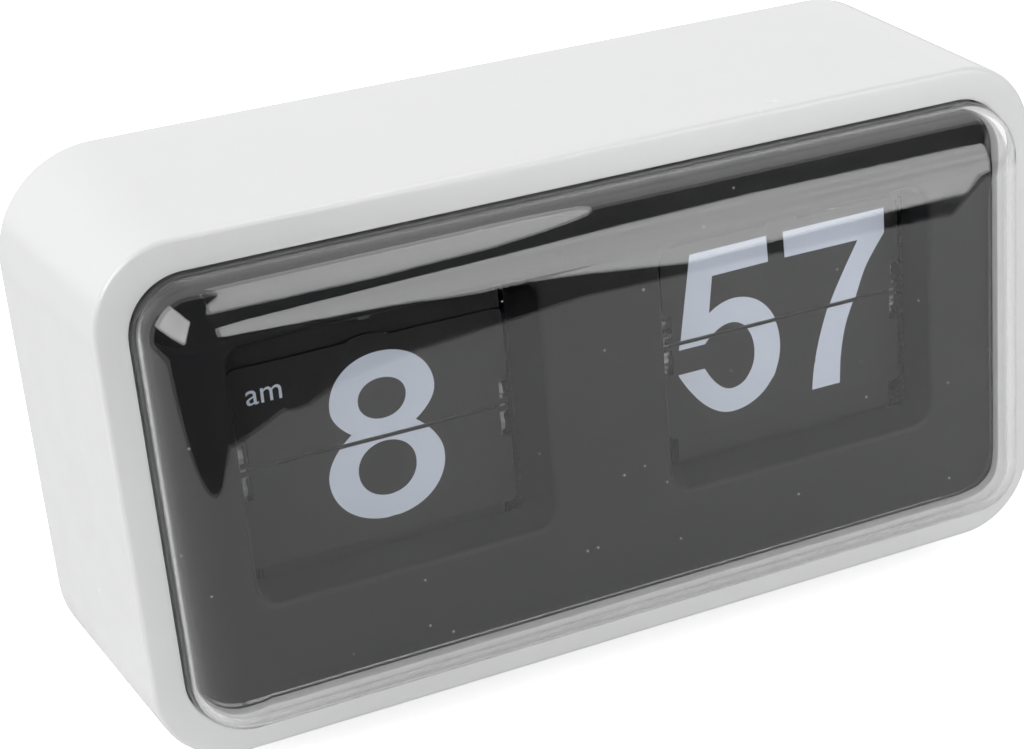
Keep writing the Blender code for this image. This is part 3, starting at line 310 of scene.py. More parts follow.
# Patterns shared by the finishes: cells or waves to the metre
FLOW_SCALE = 28.0
WEAR_SCALE = 70.0
LINT_SCALE = 420.0
LINT_SIZE = 0.16
LINT_GREY = (0.3, 0.3, 0.3)
COAT_ROUGHNESS = 0.08
DRAWN_LINE_SCALE = 1400.0
DRAWN_LINE_DEPTH = 0.000008
STAIN_SCALE = 60.0


def moulded(
    name, colour, roughness, grain, depth, mottle, spread=0.06, dust=0.0, specular=0.5,
    coat=0.0,
):
    """Moulded plastic: a faint flow pattern, a fine skin texture and a little dust."""
    finish = Finish(name)
    shader = finish.shader
    flow = finish.noise(FLOW_SCALE, 4.0)
    tone = finish.mixed(
        finish.ranged(flow, 0.3, 0.7), shaded(colour, 1 - mottle), shaded(colour, 1 + mottle)
    )
    if dust:
        lint = finish.specks(LINT_SCALE, LINT_SIZE, dust)
        tone = finish.mixed(lint, tone, LINT_GREY)
    finish.link(tone, shader.inputs["Base Color"])
    wear = finish.noise(WEAR_SCALE, 5.0)
    finish.link(
        finish.ranged(wear, 0.3, 0.75, roughness - spread, roughness + spread),
        shader.inputs["Roughness"],
    )
    finish.relief(finish.noise(grain, 2.0), depth)
    shader.inputs["Specular IOR Level"].default_value = specular
    shader.inputs["Coat Weight"].default_value = coat
    shader.inputs["Coat Roughness"].default_value = COAT_ROUGHNESS
    return finish.material


def metal(name, colour, roughness, along):
    """Drawn or turned metal with fine lines along one way and a few stains."""
    finish = Finish(name)
    shader = finish.shader
    lines = finish.noise(DRAWN_LINE_SCALE, 3.0, finish.stretched(along))
    stains = finish.noise(STAIN_SCALE, 4.0)
    tone = finish.mixed(
        finish.ranged(stains, 0.35, 0.75), shaded(colour, 1.04), shaded(colour, 0.82)
    )
    finish.link(tone, shader.inputs["Base Color"])
    finish.link(
        finish.ranged(lines, 0.3, 0.7, roughness * 0.75, roughness * 1.35),
        shader.inputs["Roughness"],
    )
    finish.relief(lines, DRAWN_LINE_DEPTH)
    shader.inputs["Metallic"].default_value = 1.0
    return finish.material


LENS_TINT = (0.97, 0.97, 0.972, 1.0)
LENS_INDEX = 1.49
LENS_LET_THROUGH = (0.93, 0.93, 0.93, 1.0)
DUST_GREY = (0.75, 0.76, 0.77, 1.0)


def clear_plastic(name):
    """The lens: polished clear plastic with a slight waviness, dust and a soft haze. Rays
    from the lamps pass straight through to what is behind."""
    finish = Finish(name)
    shader = finish.shader
    shader.inputs["Base Color"].default_value = LENS_TINT
    shader.inputs["Transmission Weight"].default_value = 1.0
    shader.inputs["IOR"].default_value = LENS_INDEX
    haze = finish.noise(45.0, 4.0)
    finish.link(finish.ranged(haze, 0.35, 0.8, 0.0, 0.05), shader.inputs["Roughness"])
    finish.relief(finish.noise(22.0, 2.0), 0.00006, 0.25)
    nodes = finish.nodes
    dust = nodes.new("ShaderNodeBsdfDiffuse")
    dust.inputs["Color"].default_value = DUST_GREY
    dotted = nodes.new("ShaderNodeMixShader")
    finish.link(finish.specks(260.0, 0.05, 0.03), dotted.inputs["Fac"])
    finish.link(shader.outputs["BSDF"], dotted.inputs[1])
    finish.link(dust.outputs["BSDF"], dotted.inputs[2])
    open_way = nodes.new("ShaderNodeBsdfTransparent")
    open_way.inputs["Color"].default_value = LENS_LET_THROUGH
    rays = nodes.new("ShaderNodeLightPath")
    lamps = nodes.new("ShaderNodeMixShader")
    finish.link(rays.outputs["Is Shadow Ray"], lamps.inputs["Fac"])
    finish.link(dotted.outputs["Shader"], lamps.inputs[1])
    finish.link(open_way.outputs["BSDF"], lamps.inputs[2])
    finish.link(lamps.outputs["Shader"], nodes["Material Output"].inputs["Surface"])
    return finish.material


WHITE_SHELL = moulded(
    "shell_white", (0.88, 0.885, 0.885), roughness=0.24, grain=1300.0, depth=0.0000015,
    mottle=0.006, spread=0.04, coat=0.1,
)
PLATE_BLACK = moulded(
    "plate_black", (0.012, 0.012, 0.013), roughness=0.42, grain=1100.0, depth=0.000003,
    mottle=0.1, dust=0.05, specular=0.15,
)
COVER_BLACK = moulded(
    "cover_black", (0.022, 0.022, 0.023), roughness=0.5, grain=900.0, depth=0.00005,
    mottle=0.1, dust=0.01,
)
LEAF_BLACK = moulded(
    "leaf_black", (0.018, 0.018, 0.019), roughness=0.5, grain=1500.0, depth=0.000003,
    mottle=0.08, spread=0.05, dust=0.02, specular=0.15,
)
PRINT_WHITE = moulded(
    "print_white", (0.52, 0.57, 0.66), roughness=0.55, grain=1700.0, depth=0.000002,
    mottle=0.02, spread=0.04,
)
DRUM_GREY = moulded(
    "drum_grey", (0.22, 0.22, 0.22), roughness=0.45, grain=900.0, depth=0.00001,
    mottle=0.08, spread=0.05, dust=0.02,
)
# Painted light: the drum discs are a paler grey than the drums, standing in for the light on
# their rims in the notches beside the leaves.
DISC_PAINTED_LIGHT = moulded(
    "disc_painted_light", (0.4, 0.41, 0.41), roughness=0.45, grain=900.0, depth=0.00001,
    mottle=0.08, spread=0.05, dust=0.02,
)
WHEEL_GREY = moulded(
    "wheel_grey", (0.05, 0.05, 0.052), roughness=0.45, grain=900.0, depth=0.00002,
    mottle=0.08, dust=0.03,
)
GEAR_NYLON = moulded(
    "gear_nylon", (0.82, 0.79, 0.72), roughness=0.42, grain=900.0, depth=0.00001,
    mottle=0.05, dust=0.02,
)
FOOT_RUBBER = moulded(
    "foot_rubber", (0.05, 0.05, 0.05), roughness=0.8, grain=700.0, depth=0.00006,
    mottle=0.15, spread=0.08, dust=0.2,
)
STEEL = metal("plain_steel", (0.62, 0.62, 0.63), 0.3, (0.05, 1.0, 1.0))
BRASS = metal("turned_brass", (0.78, 0.6, 0.3), 0.28, (1.0, 0.2, 0.2))
LENS_CLEAR = clear_plastic("lens_clear")


# ---- housing, lens and face plate -----------------------------------------------------


def housing_size(depth, wall=0.0):
    """Width, height and corner of the housing at a depth, a wall's thickness in."""
    share = (depth - FRONT_ROUND) / (HOUSING_DEPTH - FRONT_ROUND)
    grown = 2 * FLARE * share - 2 * wall
    corner = FRONT_CORNER + (REAR_CORNER - FRONT_CORNER) * share - wall
    return FRONT_WIDTH + grown, FRONT_HEIGHT + grown, corner


def quarter(steps):
    return [math.radians(90 * i / steps) for i in range(steps + 1)]


def make_housing():
    opening = (OPENING_WIDTH, OPENING_HEIGHT, OPENING_CORNER)
    sections = []
    for turn in quarter(SMALL_STEPS):
        wide = 2 * OPENING_ROUND * (1 - math.cos(turn))
        depth = OPENING_ROUND * (1 - math.sin(turn))
        sections.append(rounded(opening[0] + wide, opening[1] + wide, opening[2], depth))
    grown = 2 * (OPENING_ROUND + EVEN)
    sections.append(rounded(opening[0] + grown, opening[1] + grown, opening[2] + EVEN, 0.0))
    inset = FRONT_ROUND + EVEN
    sections.append(rounded(
        FRONT_WIDTH - 2 * inset, FRONT_HEIGHT - 2 * inset, FRONT_CORNER - inset, 0.0
    ))
    for turn in quarter(ROUND_STEPS):
        inset = FRONT_ROUND * (1 - math.sin(turn))
        depth = FRONT_ROUND * (1 - math.cos(turn))
        sections.append(rounded(
            FRONT_WIDTH - 2 * inset, FRONT_HEIGHT - 2 * inset, FRONT_CORNER - inset, depth
        ))
    for depth in (FRONT_ROUND + EVEN, HOUSING_DEPTH - REAR_ROUND - EVEN):
        sections.append(rounded(*housing_size(depth), depth))
    for turn in quarter(SMALL_STEPS):
        inset = REAR_ROUND * (1 - math.cos(turn))
        depth = HOUSING_DEPTH - REAR_ROUND * (1 - math.sin(turn))
        sections.append(rounded(*housing_size(depth, inset), depth))
    sections.append(rounded(*housing_size(HOUSING_DEPTH, SIDE_WALL), HOUSING_DEPTH))
    sections.append(rounded(*housing_size(FRONT_WALL, SIDE_WALL), FRONT_WALL))
    sections.append(rounded(*opening, FRONT_WALL))
    add_piece(
        "housing_shell", walk(sections, ring=True), WHITE_SHELL,
        replaces=["housing"],
    )


def dome(offset):
    """Sections of the lens from its flange to the middle of its front, moved inwards by
    offset for the inner skin."""
    width = OPENING_WIDTH - 2 * GAP - 2 * offset
    height = OPENING_HEIGHT - 2 * GAP - 2 * offset
    corner = OPENING_CORNER - GAP - offset
    rise = LENS_BULGE - LENS_CROWN - offset - LENS_STRAIGHT
    sections = [rounded(width, height, corner, FRONT_WALL + GAP)]
    for turn in quarter(DOME_STEPS):
        inset = rise * (1 - math.cos(turn))
        depth = -LENS_STRAIGHT - rise * math.sin(turn)
        tight = max(corner - LENS_CORNER_SHARE * inset, LENS_FRONT_CORNER)
        sections.append(rounded(width - 2 * inset, height - 2 * inset, tight, depth))
    flat_width, flat_height = width - 2 * rise, height - 2 * rise
    last = CROWN_SHARES[-1]
    for share in CROWN_SHARES:
        depth = -LENS_STRAIGHT - rise - LENS_CROWN * (1 - share**2) / (1 - last**2)
        gone = flat_height * (1 - share)
        corner = LENS_FRONT_CORNER * share
        sections.append(rounded(flat_width - gone, flat_height - gone, corner, depth))
    return sections


def make_lens():
    outer, inner = dome(0.0), dome(LENS_WALL)
    front = FRONT_WALL + GAP
    back = LENS_HIGH.y - FRONT_Y
    flange = (OPENING_WIDTH + 2 * LENS_FLANGE, OPENING_HEIGHT + 2 * LENS_FLANGE)
    sections = outer[::-1]
    for depth in (front, back):
        sections.append(rounded(*flange, OPENING_CORNER + LENS_FLANGE, depth))
    for point in inner[0]:
        point.y = FRONT_Y + back
    add_piece(
        "clear_lens_dome", walk(sections + inner), LENS_CLEAR,
        replaces=["front_lens"],
        smooth=LENS_SMOOTH_ANGLE,
    )


def window_ring(side, grown, depth):
    return rounded(
        WINDOW_WIDTH + 2 * grown, WINDOW_HEIGHT + 2 * grown, WINDOW_CORNER + grown, depth,
        side * WINDOW_OFFSET, WINDOW_RISE,
    )


def sleeve_ring(side, grown, depth):
    low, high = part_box(f"{'minute' if side > 0 else 'hour'}_leaf_lower")
    width = high.x - low.x + 2 * SLEEVE_GAP
    return rounded(
        width + 2 * grown, SLEEVE_HIGH - SLEEVE_LOW + 2 * grown, SLEEVE_CORNER + grown, depth,
        (low.x + high.x) / 2, (SLEEVE_HIGH + SLEEVE_LOW) / 2,
    )


def between(first, second, share):
    return [a.lerp(b, share) for a, b in zip(first, second)]


def make_face_plate():
    """The plate with a rounded lip round each window and a tapering sleeve behind it."""
    bm = bmesh.new()
    width = OPENING_WIDTH - 2 * (LENS_WALL + 2 * GAP)
    height = OPENING_HEIGHT - 2 * (LENS_WALL + 2 * GAP)
    corner = OPENING_CORNER - LENS_WALL - 2 * GAP
    wide = (OPENING_WIDTH + 2 * LENS_FLANGE, OPENING_HEIGHT + 2 * LENS_FLANGE)
    inset = PLATE_ROUND + EVEN
    sections = [
        rounded(width - 2 * inset, height - 2 * inset, corner - inset, PLATE_DEPTH)
    ]
    for turn in quarter(SMALL_STEPS):
        inset = PLATE_ROUND * (1 - math.sin(turn))
        depth = PLATE_DEPTH + PLATE_ROUND * (1 - math.cos(turn))
        sections.append(rounded(width - 2 * inset, height - 2 * inset, corner - inset, depth))
    sections.append(rounded(width, height, corner, CLAMP_DEPTH))
    clamp_back = CLAMP_DEPTH + CLAMP_THICK
    for depth in (CLAMP_DEPTH, clamp_back):
        sections.append(rounded(*wide, OPENING_CORNER + LENS_FLANGE, depth))
    front, back = tube(bm, sections)
    end = PLATE_BACK_Y - FRONT_Y
    for side in (-1, 1):
        rings = [window_ring(side, WINDOW_ROUND + EVEN, PLATE_DEPTH)]
        for turn in quarter(LIP_STEPS):
            grown = WINDOW_ROUND * (1 - math.sin(turn))
            depth = PLATE_DEPTH + WINDOW_ROUND * (1 - math.cos(turn))
            rings.append(window_ring(side, grown, depth))
        rings.append(sleeve_ring(side, 0.0, end))
        rings.append(sleeve_ring(side, SLEEVE_WALL, end))
        mouth = window_ring(side, SLEEVE_WALL, PLATE_DEPTH)
        share = (clamp_back - PLATE_DEPTH) / (end - PLATE_DEPTH)
        rings.append(between(mouth, sleeve_ring(side, SLEEVE_WALL, end), share))
        first, last = tube(bm, rings)
        front += first
        back += last
    bmesh.ops.triangle_fill(bm, edges=front, use_beauty=True)
    bmesh.ops.triangle_fill(bm, edges=back, use_beauty=True)
    add_piece(
        "window_plate", bm, PLATE_BLACK, replaces=["face_plate"],
    )


# ---- printed numbers ------------------------------------------------------------------

PRINT_LIFT = 0.00003
PRINT_SINK = 0.00001
CURVE_SHARE = 0.57
CURVE_STEPS = 14
MILLIMETRE = 0.001

# Outlines in millimetres on the leaf. h and v are smooth points with a level or an upright
# tangent, s is smooth along the way to its neighbours, c is a corner.
EIGHT = (
    (
        (-44.3, 18.1, "h"), (-55.4, 8.2, "v"), (-51.5, 2.2, "c"), (-57.2, -6.6, "v"),
        (-44.9, -17.2, "h"), (-32.6, -6.4, "v"), (-38.0, 2.2, "c"), (-33.3, 8.8, "v"),
    ),
    ((-44.5, 12.6, "h"), (-49.5, 8.3, "v"), (-44.5, 4.1, "h"), (-39.4, 8.6, "v")),
    ((-44.8, -0.7, "h"), (-51.0, -6.4, "v"), (-44.8, -12.3, "h"), (-38.7, -6.2, "v")),
)
NINE = (
    (
        (-44.3, 16.9, "h"), (-56.0, 6.6, "v"), (-46.5, -4.2, "h"), (-39.5, -1.2, "c"),
        (-40.6, -8.0, "s"), (-45.2, -12.2, "h"), (-50.4, -8.6, "c"), (-56.3, -8.6, "c"),
        (-45.4, -17.2, "h"), (-32.8, 0.5, "v"),
    ),
    ((-44.5, 12.0, "h"), (-50.0, 6.5, "v"), (-45.0, 0.8, "h"), (-39.2, 6.5, "v")),
)
FIVE = (
    (
        (24.7, 22.6, "c"), (21.1, 2.4, "c"), (27.3, 2.4, "c"), (33.2, 5.8, "h"),
        (38.9, -1.6, "v"), (33.0, -8.9, "h"), (26.9, -3.0, "c"), (20.6, -3.0, "c"),
        (33.0, -14.2, "h"), (45.1, -1.5, "v"), (34.4, 11.0, "h"), (28.4, 8.9, "c"),
        (29.6, 16.9, "c"), (42.9, 17.1, "c"), (42.7, 22.8, "c"),
    ),
)
SEVEN = (
    (
        (46.7, 22.8, "c"), (46.9, 17.1, "c"), (64.7, 17.1, "c"), (60.4, 10.0, "s"),
        (57.4, 4.4, "s"), (54.8, -2.6, "s"), (53.2, -9.0, "s"), (52.5, -14.2, "c"),
        (59.4, -14.2, "c"), (60.0, -7.2, "s"), (61.4, -1.0, "s"), (63.8, 4.6, "s"),
        (66.6, 11.0, "s"), (71.3, 17.4, "c"), (71.3, 22.9, "c"),
    ),
)


def tangents(points):
    """Left and right handles of every point of one outline."""
    handles = []
    for i, (x, z, kind) in enumerate(points):
        before, after = points[i - 1], points[(i + 1) % len(points)]
        pair = []
        for other, sense in ((before, -1), (after, 1)):
            dx, dz = other[0] - x, other[1] - z
            if kind == "h":
                pair.append((x + CURVE_SHARE * dx, z))
            elif kind == "v":
                pair.append((x, z + CURVE_SHARE * dz))
            elif kind == "s":
                along = Vector((after[0] - before[0], after[1] - before[1])).normalized()
                reach = math.hypot(dx, dz) / 3 * sense
                pair.append((x + along.x * reach, z + along.y * reach))
            elif other[2] == "c":
                pair.append((x + dx / 3, z + dz / 3))
            else:
                pair.append((x, z))
        handles.append(pair)
    return handles


def flat_mesh(curve_object):
    """The filled mesh of a flat curve or text, in its own plane."""
    bpy.context.view_layer.update()
    graph = bpy.context.evaluated_depsgraph_get()
    bm = bmesh.new()
    bm.from_mesh(bpy.data.meshes.new_from_object(curve_object.evaluated_get(graph)))
    bpy.data.objects.remove(curve_object)
    bmesh.ops.remove_doubles(bm, verts=bm.verts, dist=FLAT_WELD)
    return bm


def glyph(outlines, shift=(0.0, 0.0), stretch=(1.0, 1.0)):
    """A number as a flat filled mesh in its plane, in metres."""
    curve = bpy.data.curves.new("number", "CURVE")
    curve.dimensions = "2D"
    curve.fill_mode = "BOTH"
    curve.resolution_u = CURVE_STEPS
    for points in outlines:
        spline = curve.splines.new("BEZIER")
        spline.use_cyclic_u = True
        spline.bezier_points.add(len(points) - 1)
        for knot, (x, z, _), handles in zip(spline.bezier_points, points, tangents(points)):
            knot.handle_left_type = knot.handle_right_type = "FREE"
            for key, (a, b) in (
                ("co", (x, z)), ("handle_left", handles[0]), ("handle_right", handles[1])
            ):
                place = (a * stretch[0] + shift[0], b * stretch[1] + shift[1])
                setattr(knot, key, (place[0] * MILLIMETRE, place[1] * MILLIMETRE, 0.0))
    obj = bpy.data.objects.new("number", curve)
    bpy.context.scene.collection.objects.link(obj)
    return flat_mesh(obj)


def letters(text):
    """The small plain letters beside the hour, from their lower left corner."""
    curve = bpy.data.curves.new(text, "FONT")
    curve.body = text
    curve.size = AM_SIZE
    curve.fill_mode = "BOTH"
    obj = bpy.data.objects.new(text, curve)
    bpy.context.scene.collection.objects.link(obj)
    bm = flat_mesh(obj)
    bmesh.ops.translate(bm, verts=bm.verts, vec=(AM_LEFT, AM_BASE, 0.0))
    return bm


def trim(bm, height, keep_above):
    """Cuts a flat number at a level and keeps one side."""
    bmesh.ops.bisect_plane(
        bm, geom=bm.verts[:] + bm.edges[:] + bm.faces[:], plane_co=(0.0, height, 0.0),
        plane_no=(0.0, -1.0 if keep_above else 1.0, 0.0), clear_outer=True,
    )


def print_piece(name, bm, front_depth, body, shift=(0.0, 0.0), faces_back=False):
    """Gives a flat number its thickness of ink and puts it on a leaf's face."""
    face = 1.0 if faces_back else -1.0
    turned = bmesh.ops.extrude_face_region(bm, geom=bm.faces[:])
    moved = [v for v in turned["geom"] if isinstance(v, bmesh.types.BMVert)]
    bmesh.ops.translate(bm, verts=moved, vec=(0.0, 0.0, PRINT_LIFT + PRINT_SINK))
    for vert in bm.verts:
        x, z, lift = vert.co
        depth = front_depth + face * (lift - PRINT_SINK)
        vert.co = at(x + shift[0], depth, z + shift[1])
    return add_piece(name, bm, PRINT_WHITE, body)


def leaf_faces(node):
    """Front and back depth, lowest and highest height of a leaf."""
    low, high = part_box(node)
    return low.y - FRONT_Y, high.y - FRONT_Y, low.z - CENTRE_Z, high.z - CENTRE_Z


def hinge_height(joint):
    """Height of the pins about which a leaf falls."""
    pins = next(j for j in frame["joints"] if j["name"] == joint)
    return pins["pos_m"][2] - CENTRE_Z


def mirrored(bm, height):
    """Turns a flat number over about a level line, for the back of a leaf that falls."""
    for vert in bm.verts:
        vert.co.y = 2 * height - vert.co.y


LOWER_SHIFT = (0.0002, -0.0003)
AM_LEFT = -0.0716
AM_BASE = 0.0134
AM_SIZE = 0.0064


def make_hour_print():
    front, back, split, _ = leaf_faces("hour_leaf_front")
    bm = glyph(EIGHT)
    trim(bm, split, True)
    print_piece("print_hour_upper", bm, front, "hour_flap")
    print_piece("print_am", letters("am"), front, "hour_flap")
    lower_front, _, _, top = leaf_faces("hour_leaf_lower")
    bm = glyph(EIGHT)
    trim(bm, top, False)
    print_piece("print_hour_lower", bm, lower_front, CASE, LOWER_SHIFT)
    bm = glyph(NINE)
    hinge = hinge_height("hour_leaf_fall")
    trim(bm, 2 * hinge - split, False)
    mirrored(bm, hinge)
    print_piece("print_hour_back", bm, back, "hour_flap", faces_back=True)
    next_front, _, next_split, _ = leaf_faces("hour_leaf_next")
    raised = next_split - split
    bm = glyph(NINE)
    trim(bm, split, True)
    print_piece("print_hour_next", bm, next_front, CASE, (0.0, raised))
    print_piece("print_am_next", letters("am"), next_front, CASE, (0.0, raised))


EIGHT_SHIFT = (104.3, 4.0)
EIGHT_STRETCH = (1.02, 1.046)


def minute_number(outlines):
    if outlines is EIGHT:
        return glyph(EIGHT, EIGHT_SHIFT, EIGHT_STRETCH)
    return glyph(outlines)


def make_minute_print():
    front, back, split, _ = leaf_faces("minute_leaf_front")
    lower_front, _, _, top = leaf_faces("minute_leaf_lower")
    next_front, _, next_split, _ = leaf_faces("minute_leaf_next")
    hinge = hinge_height("minute_leaf_fall")
    for label, outlines in (("tens", FIVE), ("units", SEVEN)):
        bm = minute_number(outlines)
        trim(bm, split, True)
        print_piece(f"print_minute_{label}_upper", bm, front, "minute_flap")
        bm = minute_number(outlines)
        trim(bm, top, False)
        print_piece(f"print_minute_{label}_lower", bm, lower_front, CASE, LOWER_SHIFT)
    for label, outlines in (("tens", FIVE), ("units", EIGHT)):
        bm = minute_number(outlines)
        trim(bm, split, True)
        print_piece(
            f"print_minute_{label}_next", bm, next_front, CASE, (0.0, next_split - split)
        )
        bm = minute_number(outlines)
        trim(bm, 2 * hinge - split, False)
        mirrored(bm, hinge)
        print_piece(f"print_minute_{label}_back", bm, back, "minute_flap", faces_back=True)


# ---- the other nodes ------------------------------------------------------------------

FINISHES = {
    "black_plastic": COVER_BLACK, "dark_plastic": DRUM_GREY, "pale_plastic": DISC_PAINTED_LIGHT,
    "leaf_black": LEAF_BLACK, "steel": STEEL, "brass": BRASS, "nylon": GEAR_NYLON,
    "rubber": FOOT_RUBBER,
}
# The setting wheel's own dark grey. The catches are steel, and the same dark grey on them is
# painted shade, for the shadow they sit in under the top of the windows.
OWN_COLOUR_AND_PAINTED_SHADE = {
    "setting_wheel": WHEEL_GREY, "hour_catch": WHEEL_GREY, "minute_catch": WHEEL_GREY,
}
OWN_SHAPES = ("housing", "front_lens", "face_plate")
PLAIN_NODES = ("contact_spring",)
SOFT_EDGE = 0.00012
SOFT_EDGE_STEPS = 2
SOFT_EDGE_ANGLE = 40.0
FLAT_ANGLE = 0.5


def soft_edges(piece):
    bevel = piece.modifiers.new("soft_edges", "BEVEL")
    bevel.width = SOFT_EDGE
    bevel.segments = SOFT_EDGE_STEPS
    bevel.limit_method = "ANGLE"
    bevel.angle_limit = math.radians(SOFT_EDGE_ANGLE)
    bevel.harden_normals = True


def soften(node, slot):
    """A merged copy of a node with smooth faces and small round edges, in its place."""
    source = NODES[node]
    bm = bmesh.new()
    bm.from_mesh(source.data)
    bmesh.ops.remove_doubles(bm, verts=bm.verts, dist=WELD)
    bmesh.ops.dissolve_limit(
        bm, angle_limit=math.radians(FLAT_ANGLE), verts=bm.verts, edges=bm.edges,
        use_dissolve_boundaries=False,
    )
    finish = OWN_COLOUR_AND_PAINTED_SHADE.get(node) or FINISHES[slot]
    body = source["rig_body"]
    piece = add_piece(f"{node}_skin", bm, finish, body, replaces=[node])
    if node not in PLAIN_NODES:
        soft_edges(piece)


def make_others():
    for subpart in frame["record"]["subparts"]:
        if subpart["node"] not in OWN_SHAPES:
            soften(subpart["node"], subpart["material_slot"])


# ---- studio ---------------------------------------------------------------------------

# The cards that the lens mirrors, in millimetres where whole numbers are given
FRONT_CARD_DEPTH = -0.3
FRONT_CARD = (
    (-17, 84), (24, 31), (42, 11), (62, -27), (79, -44), (116, -48), (156, -54), (276, -52),
    (330, -40), (350, 40), (350, 250), (335, 317), (248, 350), (181, 317), (116, 263),
    (61, 231), (7, 195), (-12, 164),
)
TOP_CARD_HEIGHT = 1.3
TOP_CARD = (
    (0.24, -0.9), (0.3, -0.94), (0.46, -1.0), (0.54, -0.8), (0.545, -0.2), (0.54, 0.2),
    (0.5, 0.3), (0.22, 0.23),
)
LEFT_CARD = (
    (-1.0, 0.05, 0.43), (-0.6, 0.02, 0.9), (-0.4, -0.7, 0.69), (-0.65, -0.83, 0.15),
)
TABLE_END = (
    (-1500, 300), (-250, -95), (-60, -180), (-27, -204), (14, -255), (44, -273), (114, -296),
    (262, -285), (1500, -285), (1500, -1500), (-1500, -1500),
)
FRONT_GLOW = 3.6
TOP_GLOW = 3.6
LEFT_GLOW = 5.0
FRONT_STREAKS = (3.0, 1.0, 30.0)
TOP_STREAKS = (1.0, 6.0, 1.0)
LEFT_STREAKS = (2.0, 2.0, 2.0)
FAINT, STRONG = 0.85, 1.15
TABLE_RISE = 0.001
ROOM_LOW = -0.2
ROOM_BACK = 0.3
ROOM_FRONT = -1.6
ROOM_SIDE = 1.8
ROOM_HEIGHT = 1.45

CAMERA_LENS = 77.1
CAMERA_PLACE = (-0.1706, -0.3652, 0.1712)
CAMERA_TURN = 22.249
CAMERA_TILT = -22.061
CAMERA_ROLL = -5.364
SENSOR_WIDTH = 36.0
NEAREST = 0.01

FLOOR_SIZE = 3.0
FLOOR_WHITE = (0.9, 0.9, 0.9, 1.0)
FLOOR_ROUGHNESS = 0.8
FLOOR_GLOSS = 0.1
FLOOR_GLOW = 0.7


def make_camera():
    data = bpy.data.cameras.new("camera")
    data.lens = CAMERA_LENS
    data.sensor_width = SENSOR_WIDTH
    data.clip_start = NEAREST
    camera = bpy.data.objects.new("camera", data)
    bpy.context.scene.collection.objects.link(camera)
    turn = Matrix.Rotation(math.radians(-CAMERA_TURN), 4, "Z")
    tilt = Matrix.Rotation(math.radians(90 + CAMERA_TILT), 4, "X")
    roll = Matrix.Rotation(math.radians(CAMERA_ROLL), 4, "Z")
    camera.matrix_world = Matrix.Translation(at(*CAMERA_PLACE)) @ turn @ tilt @ roll
    bpy.context.scene.camera = camera


def softbox(name, place, target, size, power):
    data = bpy.data.lights.new(name, "AREA")
    data.shape = "RECTANGLE"
    data.size, data.size_y = size
    data.energy = power
    lamp = bpy.data.objects.new(name, data)
    bpy.context.scene.collection.objects.link(lamp)
    lamp.visible_glossy = False
    lamp.visible_transmission = False
    way = Vector(target) - Vector(place)
    lamp.matrix_world = (
        Matrix.Translation(place) @ way.to_track_quat("-Z", "Y").to_matrix().to_4x4()
    )


def stage_card(name, corners, strength=0.0, streaks=(1.0, 1.0, 1.0)):
    """A flat card outside the picture that only reflections show, with soft streaks."""
    bm = bmesh.new()
    bm.faces.new([bm.verts.new(corner) for corner in corners])
    mesh = bpy.data.meshes.new(name)
    bm.to_mesh(mesh)
    bm.free()
    card = bpy.data.objects.new(name, mesh)
    bpy.context.scene.collection.objects.link(card)
    finish = Finish(name)
    finish.nodes.remove(finish.shader)
    glow = finish.nodes.new("ShaderNodeEmission")
    lines = finish.noise(1.0, 3.0, finish.stretched(streaks))
    level = finish.ranged(lines, 0.3, 0.7, FAINT * strength, STRONG * strength)
    finish.link(level, glow.inputs["Strength"])
    finish.link(glow.outputs["Emission"], finish.nodes["Material Output"].inputs["Surface"])
    mesh.materials.append(finish.material)
    card.visible_camera = False
    card.visible_diffuse = False
    card.visible_shadow = False


def make_cards():
    """What the lens mirrors: a bright card in front, low and to the right, a light overhead,
    a window far left, the end of the white table, and a dark room around them."""
    front = [at(x * MILLIMETRE, FRONT_CARD_DEPTH, z * MILLIMETRE) for x, z in FRONT_CARD]
    stage_card("front_card", front, FRONT_GLOW, FRONT_STREAKS)
    overhead = [at(x, y, TOP_CARD_HEIGHT) for x, y in TOP_CARD]
    stage_card("top_card", overhead, TOP_GLOW, TOP_STREAKS)
    stage_card("left_card", [at(*corner) for corner in LEFT_CARD], LEFT_GLOW, LEFT_STREAKS)
    level = TABLE_RISE - CENTRE_Z
    stage_card("table_end", [at(x * MILLIMETRE, y * MILLIMETRE, level) for x, y in TABLE_END])
    low, high, near, left, right = ROOM_LOW, ROOM_HEIGHT, ROOM_FRONT, -ROOM_SIDE, ROOM_SIDE
    walls = {
        "room_front": (
            (left, near, low), (right, near, low), (right, near, high), (left, near, high)
        ),
        "room_left": (
            (left, near, low), (left, ROOM_BACK, low), (left, ROOM_BACK, high),
            (left, near, high),
        ),
        "room_top": (
            (left, near, high), (right, near, high), (right, 0.0, high), (left, 0.0, high)
        ),
    }
    for name, corners in walls.items():
        stage_card(name, [at(*corner) for corner in corners])


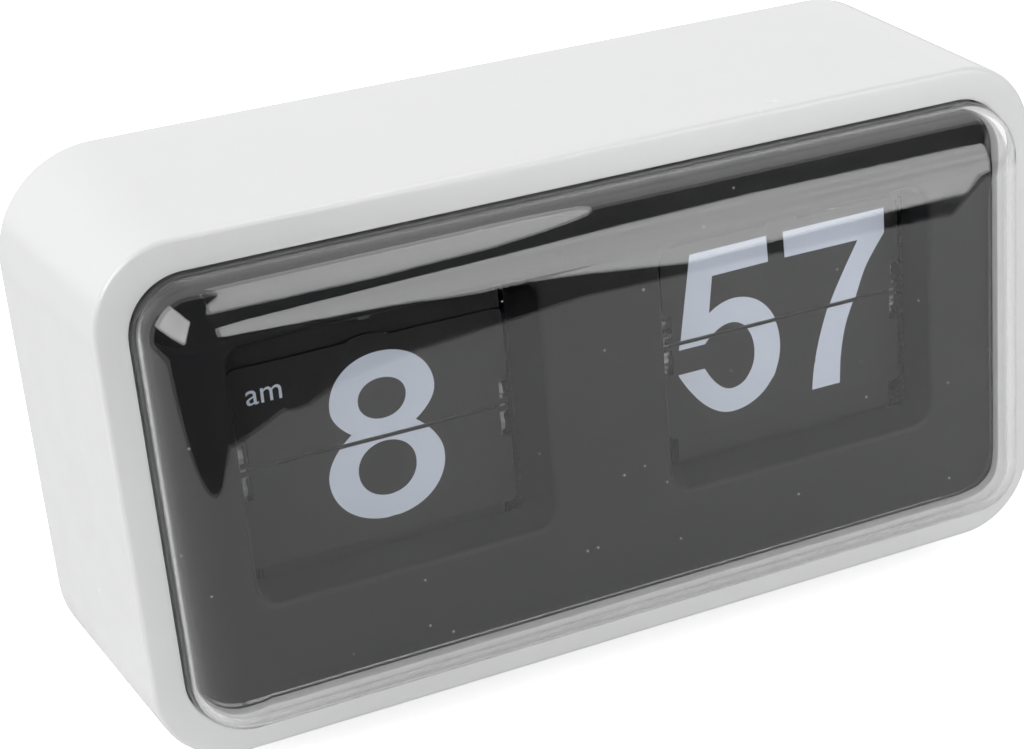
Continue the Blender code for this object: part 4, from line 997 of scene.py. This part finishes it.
def make_floor():
    """White paper that glows a little for the camera alone, so that it meets the white
    behind it and still keeps a shadow."""
    bm = bmesh.new()
    bmesh.ops.create_grid(bm, x_segments=1, y_segments=1, size=FLOOR_SIZE)
    mesh = bpy.data.meshes.new("floor")
    bm.to_mesh(mesh)
    bm.free()
    floor = bpy.data.objects.new("floor", mesh)
    bpy.context.scene.collection.objects.link(floor)
    material = bpy.data.materials.new("floor_white")
    material.use_nodes = True
    nodes, links = material.node_tree.nodes, material.node_tree.links
    paper = nodes["Principled BSDF"]
    paper.inputs["Base Color"].default_value = FLOOR_WHITE
    paper.inputs["Roughness"].default_value = FLOOR_ROUGHNESS
    paper.inputs["Specular IOR Level"].default_value = FLOOR_GLOSS
    glow = nodes.new("ShaderNodeEmission")
    glow.inputs["Strength"].default_value = FLOOR_GLOW
    both = nodes.new("ShaderNodeAddShader")
    links.new(paper.outputs["BSDF"], both.inputs[0])
    links.new(glow.outputs["Emission"], both.inputs[1])
    rays = nodes.new("ShaderNodeLightPath")
    choice = nodes.new("ShaderNodeMixShader")
    links.new(rays.outputs["Is Camera Ray"], choice.inputs["Fac"])
    links.new(paper.outputs["BSDF"], choice.inputs[1])
    links.new(both.outputs["Shader"], choice.inputs[2])
    links.new(choice.outputs["Shader"], nodes["Material Output"].inputs["Surface"])
    mesh.materials.append(material)


AMBIENT = 0.5
WHITE = (1.0, 1.0, 1.0, 1.0)

# Each soft lamp: its place, where it points, its two sides and its power
SOFTBOXES = {
    "top_box": ((-0.25, 0.1, 1.3), (0.0, 0.0, 0.06), (1.3, 1.0), 6.0),
    "left_box": ((-1.2, -0.2, 0.5), (0.0, 0.0, 0.06), (0.8, 0.8), 3.2),
    "right_box": ((0.45, -0.4, 0.15), (0.05, 0.0, 0.06), (0.3, 0.3), 0.4),
}


def shown_to(nodes, links, rays):
    """One for rays from the camera and for mirrored and refracted rays."""
    share = rays.outputs["Is Camera Ray"]
    for name in ("Is Glossy Ray", "Is Transmission Ray"):
        either = nodes.new("ShaderNodeMath")
        either.operation = "MAXIMUM"
        links.new(share, either.inputs[0])
        links.new(rays.outputs[name], either.inputs[1])
        share = either.outputs[0]
    return share


def make_world():
    world = bpy.data.worlds.new("studio")
    bpy.context.scene.world = world
    world.use_nodes = True
    nodes, links = world.node_tree.nodes, world.node_tree.links
    soft = nodes["Background"]
    soft.inputs["Color"].default_value = WHITE
    soft.inputs["Strength"].default_value = AMBIENT
    white = nodes.new("ShaderNodeBackground")
    white.inputs["Color"].default_value = WHITE
    white.inputs["Strength"].default_value = 1.0
    rays = nodes.new("ShaderNodeLightPath")
    choice = nodes.new("ShaderNodeMixShader")
    links.new(shown_to(nodes, links, rays), choice.inputs["Fac"])
    links.new(soft.outputs[0], choice.inputs[1])
    links.new(white.outputs[0], choice.inputs[2])
    links.new(choice.outputs[0], nodes["World Output"].inputs["Surface"])


def make_studio():
    make_camera()
    make_floor()
    make_world()
    make_cards()
    for name, (place, target, size, power) in SOFTBOXES.items():
        softbox(name, place, target, size, power)
    bpy.context.scene.view_settings.view_transform = "Standard"


make_housing()
make_lens()
make_face_plate()
make_hour_print()
make_minute_print()
make_others()
make_studio()
